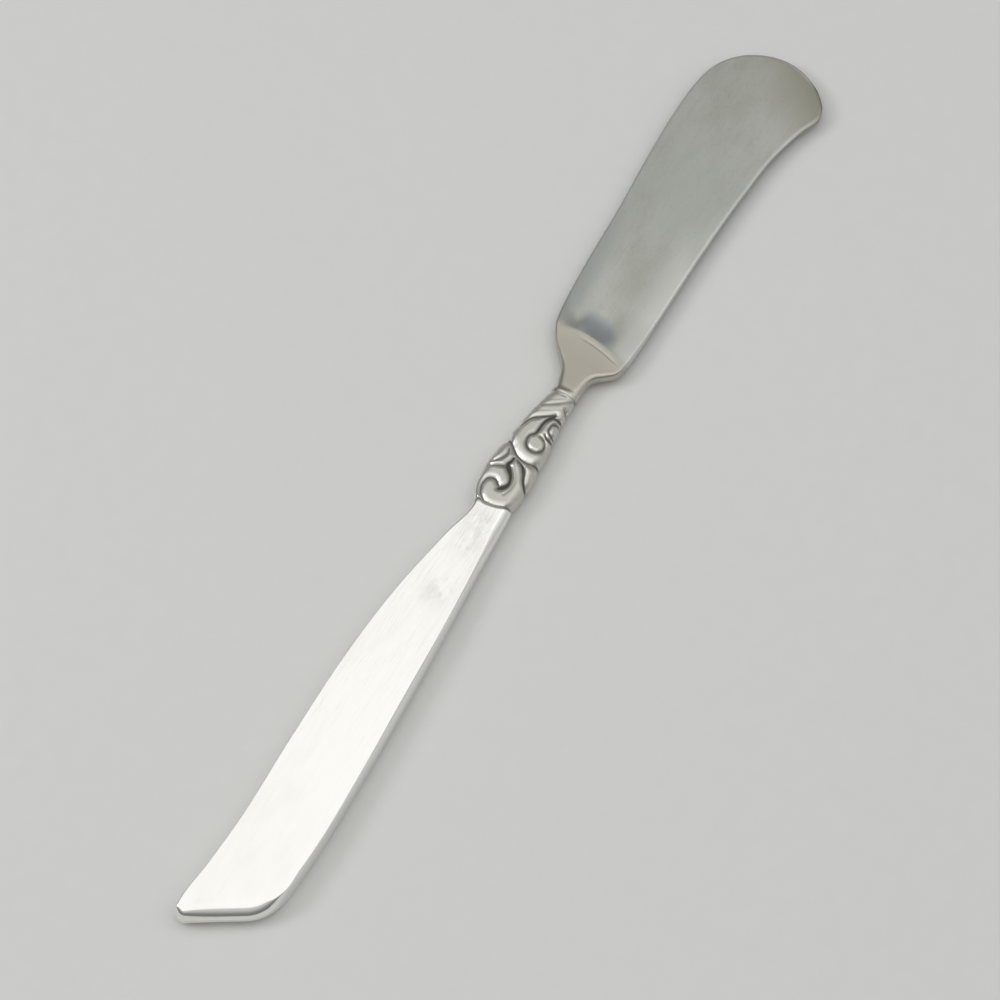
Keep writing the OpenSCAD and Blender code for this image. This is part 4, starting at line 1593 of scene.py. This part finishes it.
    def tang(self) -> Piece:
        """Notched tang: its outline, drawn down both edges, carried through its thickness.

        Returns:
            The tang, closed at both ends.
        """
        k = np.arange(self.tang_notches)
        middle = -self.tang_len * (k + 1) / (self.tang_notches + 1)
        offsets = np.array(self.notch_shape) * self.notch_len
        notch_x = (middle[:, None] + offsets).ravel()
        taper = (notch_x + self.tang_straight) / (self.tang_straight - self.tang_len)
        cut = np.tile([0.0, self.notch_depth, self.notch_depth, 0.0], self.tang_notches)
        notch_y = mix(self.tang_w, self.tang_end_w, taper) / 2 - cut
        x = np.concatenate([[self.tang_root, -self.tang_straight], notch_x, [-self.tang_len]])
        y = np.concatenate([[self.tang_w / 2] * 2, notch_y, [self.tang_end_w / 2]])
        count = len(x)
        layers = [np.column_stack([x, side * y, np.full(count, level * self.tang_t / 2)])
                  for level in (1, -1) for side in (1, -1)]
        ids = np.arange(4 * count).reshape(4, count)
        ends = np.array([[ids[0, 0], ids[2, 0], ids[3, 0], ids[1, 0]],
                         [ids[0, -1], ids[1, -1], ids[3, -1], ids[2, -1]]])
        walls = [ribbon(ids[a], ids[b]) for a, b in ((0, 1), (1, 3), (3, 2), (2, 0))]
        return Piece(np.vstack(layers), np.vstack([*walls, ends]))

    def dress(self, placing: Placing, metal: bpy.types.Material) -> None:
        """Builds the blade and puts it in place of the CAD one.

        Args:
            placing: Place of the knife.
            metal: Finish of the blade.
        """
        skin, tones = self.forging()
        tang = self.tang()
        obj = placing.add("blade_forged", skin.joined(tang), metal)
        for label, tone in tones.items():
            paint(obj, label, np.concatenate([tone, np.zeros(len(tang.points))]))
        declare(obj, "blade")


@dataclass
class Collar:
    """Ring at the mouth of the handle. Sizes are in millimetres."""

    handle: Handle
    length: float = 1.2
    neck_w: float = 3.7
    neck_t: float = 2.4
    bead: float = 0.08
    bead_right: float = 0.1
    bead_at: float = 0.74
    bead_width: float = 0.22
    bead_fade: Pair = (-0.5, 0.4)
    swell_end: float = 0.7
    neck_power: float = 3.0
    mouth_power: float = 2.2
    bore_power: float = 6.0
    shank_w: float = 2.3
    shank_t: float = 1.3
    sides: int = 96
    profile: int = 20

    @staticmethod
    def oval(a: Array, half_w: Any, half_t: Any, power: Any) -> Array:
        """Distance from the centre, at the angles a, of an oval with those half sizes and that power."""
        return (np.abs(np.cos(a) / half_w) ** power + np.abs(np.sin(a) / half_t) ** power) ** (-1.0 / power)

    def ring(self) -> Piece:
        """Closed ring: it swells from the neck's section to the mouth's, with a bead near its rear.

        A section is the curve in which a power of the two shares of its half sizes add up to 1, with a
        power each for the neck, the mouth and the bore for the tang. The bead is a bell curve along the
        ring, and it fades towards the right.

        Returns:
            The ring, closed through its bore.
        """
        a = np.linspace(0.0, 2.0 * math.pi, self.sides, endpoint=False)
        s = np.linspace(0.0, 1.0, self.profile + 1)[:, None]
        swell = smooth_step(0.0, self.swell_end, s)
        fade = mix(self.bead_right, 1.0, smooth_step(*self.bead_fade, np.cos(a)))
        grow = self.bead * fade * bell(s - self.bead_at, self.bead_width)
        half_w = mix(self.neck_w, self.handle.mouth_w, swell) / 2 + grow
        half_t = mix(self.neck_t, self.handle.mouth_t, swell) / 2 + grow
        reach = self.oval(a, half_w, half_t, mix(self.neck_power, self.mouth_power, swell))
        outside = np.stack([
            np.broadcast_to(-self.length * s, reach.shape),
            self.handle.mouth_sway * swell + reach * np.cos(a),
            reach * np.sin(a),
        ], axis=-1)
        reach = self.oval(a, self.shank_w / 2, self.shank_t / 2, self.bore_power)
        bore = np.stack([np.zeros_like(a), reach * np.cos(a), reach * np.sin(a)], axis=-1)
        rear = bore - [self.length, 0.0, 0.0]
        loops = np.concatenate([outside, rear[None], bore[None]])
        ids = np.arange(loops.shape[0] * self.sides).reshape(-1, self.sides)
        ids = np.vstack([ids, ids[:1]])
        ids = np.hstack([ids, ids[:, :1]])
        return Piece(loops.reshape(-1, 3), RimmedFace.cells(ids)[:, ::-1])

    def dress(self, placing: Placing, silver: bpy.types.Material) -> None:
        """Builds the ring and puts it in place of the CAD one."""
        declare(placing.add("collar_beaded", self.ring(), silver), "collar")


@dataclass
class Studio:
    """Floor, soft light and the photograph's camera. Sizes are in metres."""

    placing: Placing
    azimuth: float = -59.5
    elevation: float = 62.0
    distance: float = 0.6
    aim_along: float = -0.01904
    pixels_per_mm: float = 7.145
    frame_px: float = 1000.0
    sensor_mm: float = 36.0
    clip_start: float = 0.01
    floor_size: float = 3.0
    horizon: Colour = (0.185, 0.19, 0.192, 1.0)
    zenith: Colour = (0.62, 0.62, 0.6, 1.0)
    sky: Pair = (0.3, 0.97)
    box_height: float = 0.62
    box_far: float = 0.38
    box_near: float = -0.36
    box_width: float = 0.8
    box_glow: float = 0.435
    lamp_rise: float = 42.0
    lamp_size: Pair = (0.26, 0.26)
    lamp_glow: float = 4.6
    fill_rise: float = 33.0
    fill_size: Pair = (0.6, 0.9)
    fill_glow: float = 0.36
    reach: float = 0.75

    def directions(self) -> tuple[Vector, Vector, Vector]:
        """Directions of the camera, from its turn about the knife and its rise above the floor.

        Returns:
            Its right, up and backward directions.
        """
        e, a = math.radians(self.elevation), math.radians(self.azimuth)
        back = Vector((math.sin(a) * math.cos(e), -math.cos(a) * math.cos(e), math.sin(e)))
        right = Vector((math.cos(a), math.sin(a), 0.0))
        return right, back.cross(right), back

    def camera(self) -> None:
        """Sets the camera at the photograph's viewing angle, distance and scale."""
        right, up, back = self.directions()
        data = bpy.data.cameras.new("photo_camera")
        data.sensor_width = self.sensor_mm
        data.lens = self.pixels_per_mm * self.distance / MM * self.sensor_mm / self.frame_px
        data.clip_start = self.clip_start
        place = Matrix((right, up, back)).transposed().to_4x4()
        aim = Vector((self.placing.origin[0] + self.aim_along, self.placing.origin[1], 0.0))
        place.translation = aim + back * self.distance
        obj = link("photo_camera", data)
        obj.matrix_world = place
        bpy.context.scene.camera = obj

    def floor(self) -> None:
        """Lays a plain pale floor under the knife."""
        half = self.floor_size / 2
        mesh = bpy.data.meshes.new("floor")
        corners = [(-half, -half, 0.0), (half, -half, 0.0), (half, half, 0.0), (-half, half, 0.0)]
        mesh.from_pydata(corners, [], [(0, 1, 2, 3)])
        mesh.materials.append(PALE_FLOOR.material())
        link("floor", mesh)

    @staticmethod
    def panel(name: str, place: Matrix, size: Pair, glow: float) -> None:
        """Adds a glowing rectangle.

        Args:
            name: Name of the lamp.
            place: Its place, with its light shining down its own Z axis.
            size: Its two sides.
            glow: Brightness of its surface.
        """
        data = bpy.data.lights.new(name, "AREA")
        data.shape = "RECTANGLE"
        data.size, data.size_y = size
        data.energy = math.pi * size[0] * size[1] * glow
        link(name, data).matrix_world = place

    def aside(self, name: str, side: int, rise: float, size: Pair, glow: float) -> None:
        """Hangs a panel that faces the knife.

        Args:
            name: Name of the lamp.
            side: 1 for the picture's right and -1 for its left.
            rise: Angle of its middle above the floor, in degrees.
            size: Its width and height.
            glow: Brightness of its surface.
        """
        tilt = math.radians(rise)
        towards = self.directions()[0] * side * math.cos(tilt) + Vector((0.0, 0.0, math.sin(tilt)))
        place = towards.to_track_quat("Z", "Y").to_matrix().to_4x4()
        place.translation = towards * self.reach
        self.panel(name, place, size, glow)

    def lights(self) -> None:
        """Hangs a wide soft box over the knife, which the handle mirrors, and a lamp at each side.

        The world around them brightens from the horizon to the zenith along a smooth step.
        """
        back = self.directions()[2]
        ahead = Vector((-back.x, -back.y, 0.0)).normalized()
        place = Matrix.Rotation(math.atan2(ahead.y, ahead.x), 4, "Z")
        place.translation = ahead * (self.box_far + self.box_near) / 2 + Vector((0.0, 0.0, self.box_height))
        self.panel("soft_box", place, (self.box_far - self.box_near, self.box_width), self.box_glow)
        self.aside("side_lamp", -1, self.lamp_rise, self.lamp_size, self.lamp_glow)
        self.aside("fill", 1, self.fill_rise, self.fill_size, self.fill_glow)
        world = bpy.data.worlds.new("studio")
        world.use_nodes = True
        sheet = NodeSheet(world.node_tree)
        way = sheet.node("ShaderNodeTexCoord", {}, {}).outputs["Generated"]
        up = Reading(sheet, sheet.node("ShaderNodeSeparateXYZ", {}, {"Vector": way}).outputs["Z"])
        colour = sheet.colour(up.smooth(*self.sky), self.horizon, self.zenith)
        glow = sheet.node("ShaderNodeBackground", {}, {"Color": colour})
        sheet.node("ShaderNodeOutputWorld", {}, {"Surface": glow.outputs["Background"]})
        bpy.context.scene.world = world

    def dress(self) -> None:
        """Builds the whole set."""
        self.camera()
        self.floor()
        self.lights()
        bpy.context.scene.view_settings.view_transform = "Standard"


def paint_node(frame: dict[str, Any], node: str, material: bpy.types.Material) -> None:
    """Gives a CAD node that stays in view its finish.

    Args:
        frame: The loaded frame.
        node: Name of the CAD node.
        material: Its finish.
    """
    mesh = frame["nodes"][node].data
    mesh.materials.clear()
    mesh.materials.append(material)
    LOG.info("%s painted with %s", node, material.name)


def main() -> None:
    """Loads the frame, dresses every piece and sets the studio."""
    logging.basicConfig(level=logging.INFO, format="%(name)s: %(message)s")
    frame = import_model()
    handle = Handle()
    placing = Placing.from_frame(handle.mouth_sway)
    Studio(placing).dress()
    handle.dress(placing, PolishedSilver().material(), SEAM.material())
    Blade().dress(placing, SatinBlade().material())
    Collar(handle).dress(placing, RING_SILVER.material())
    paint_node(frame, "collar_solder", SOLDER.material())
    paint_node(frame, "handle_filler", CEMENT.material())


if __name__ == "__main__":
    main()
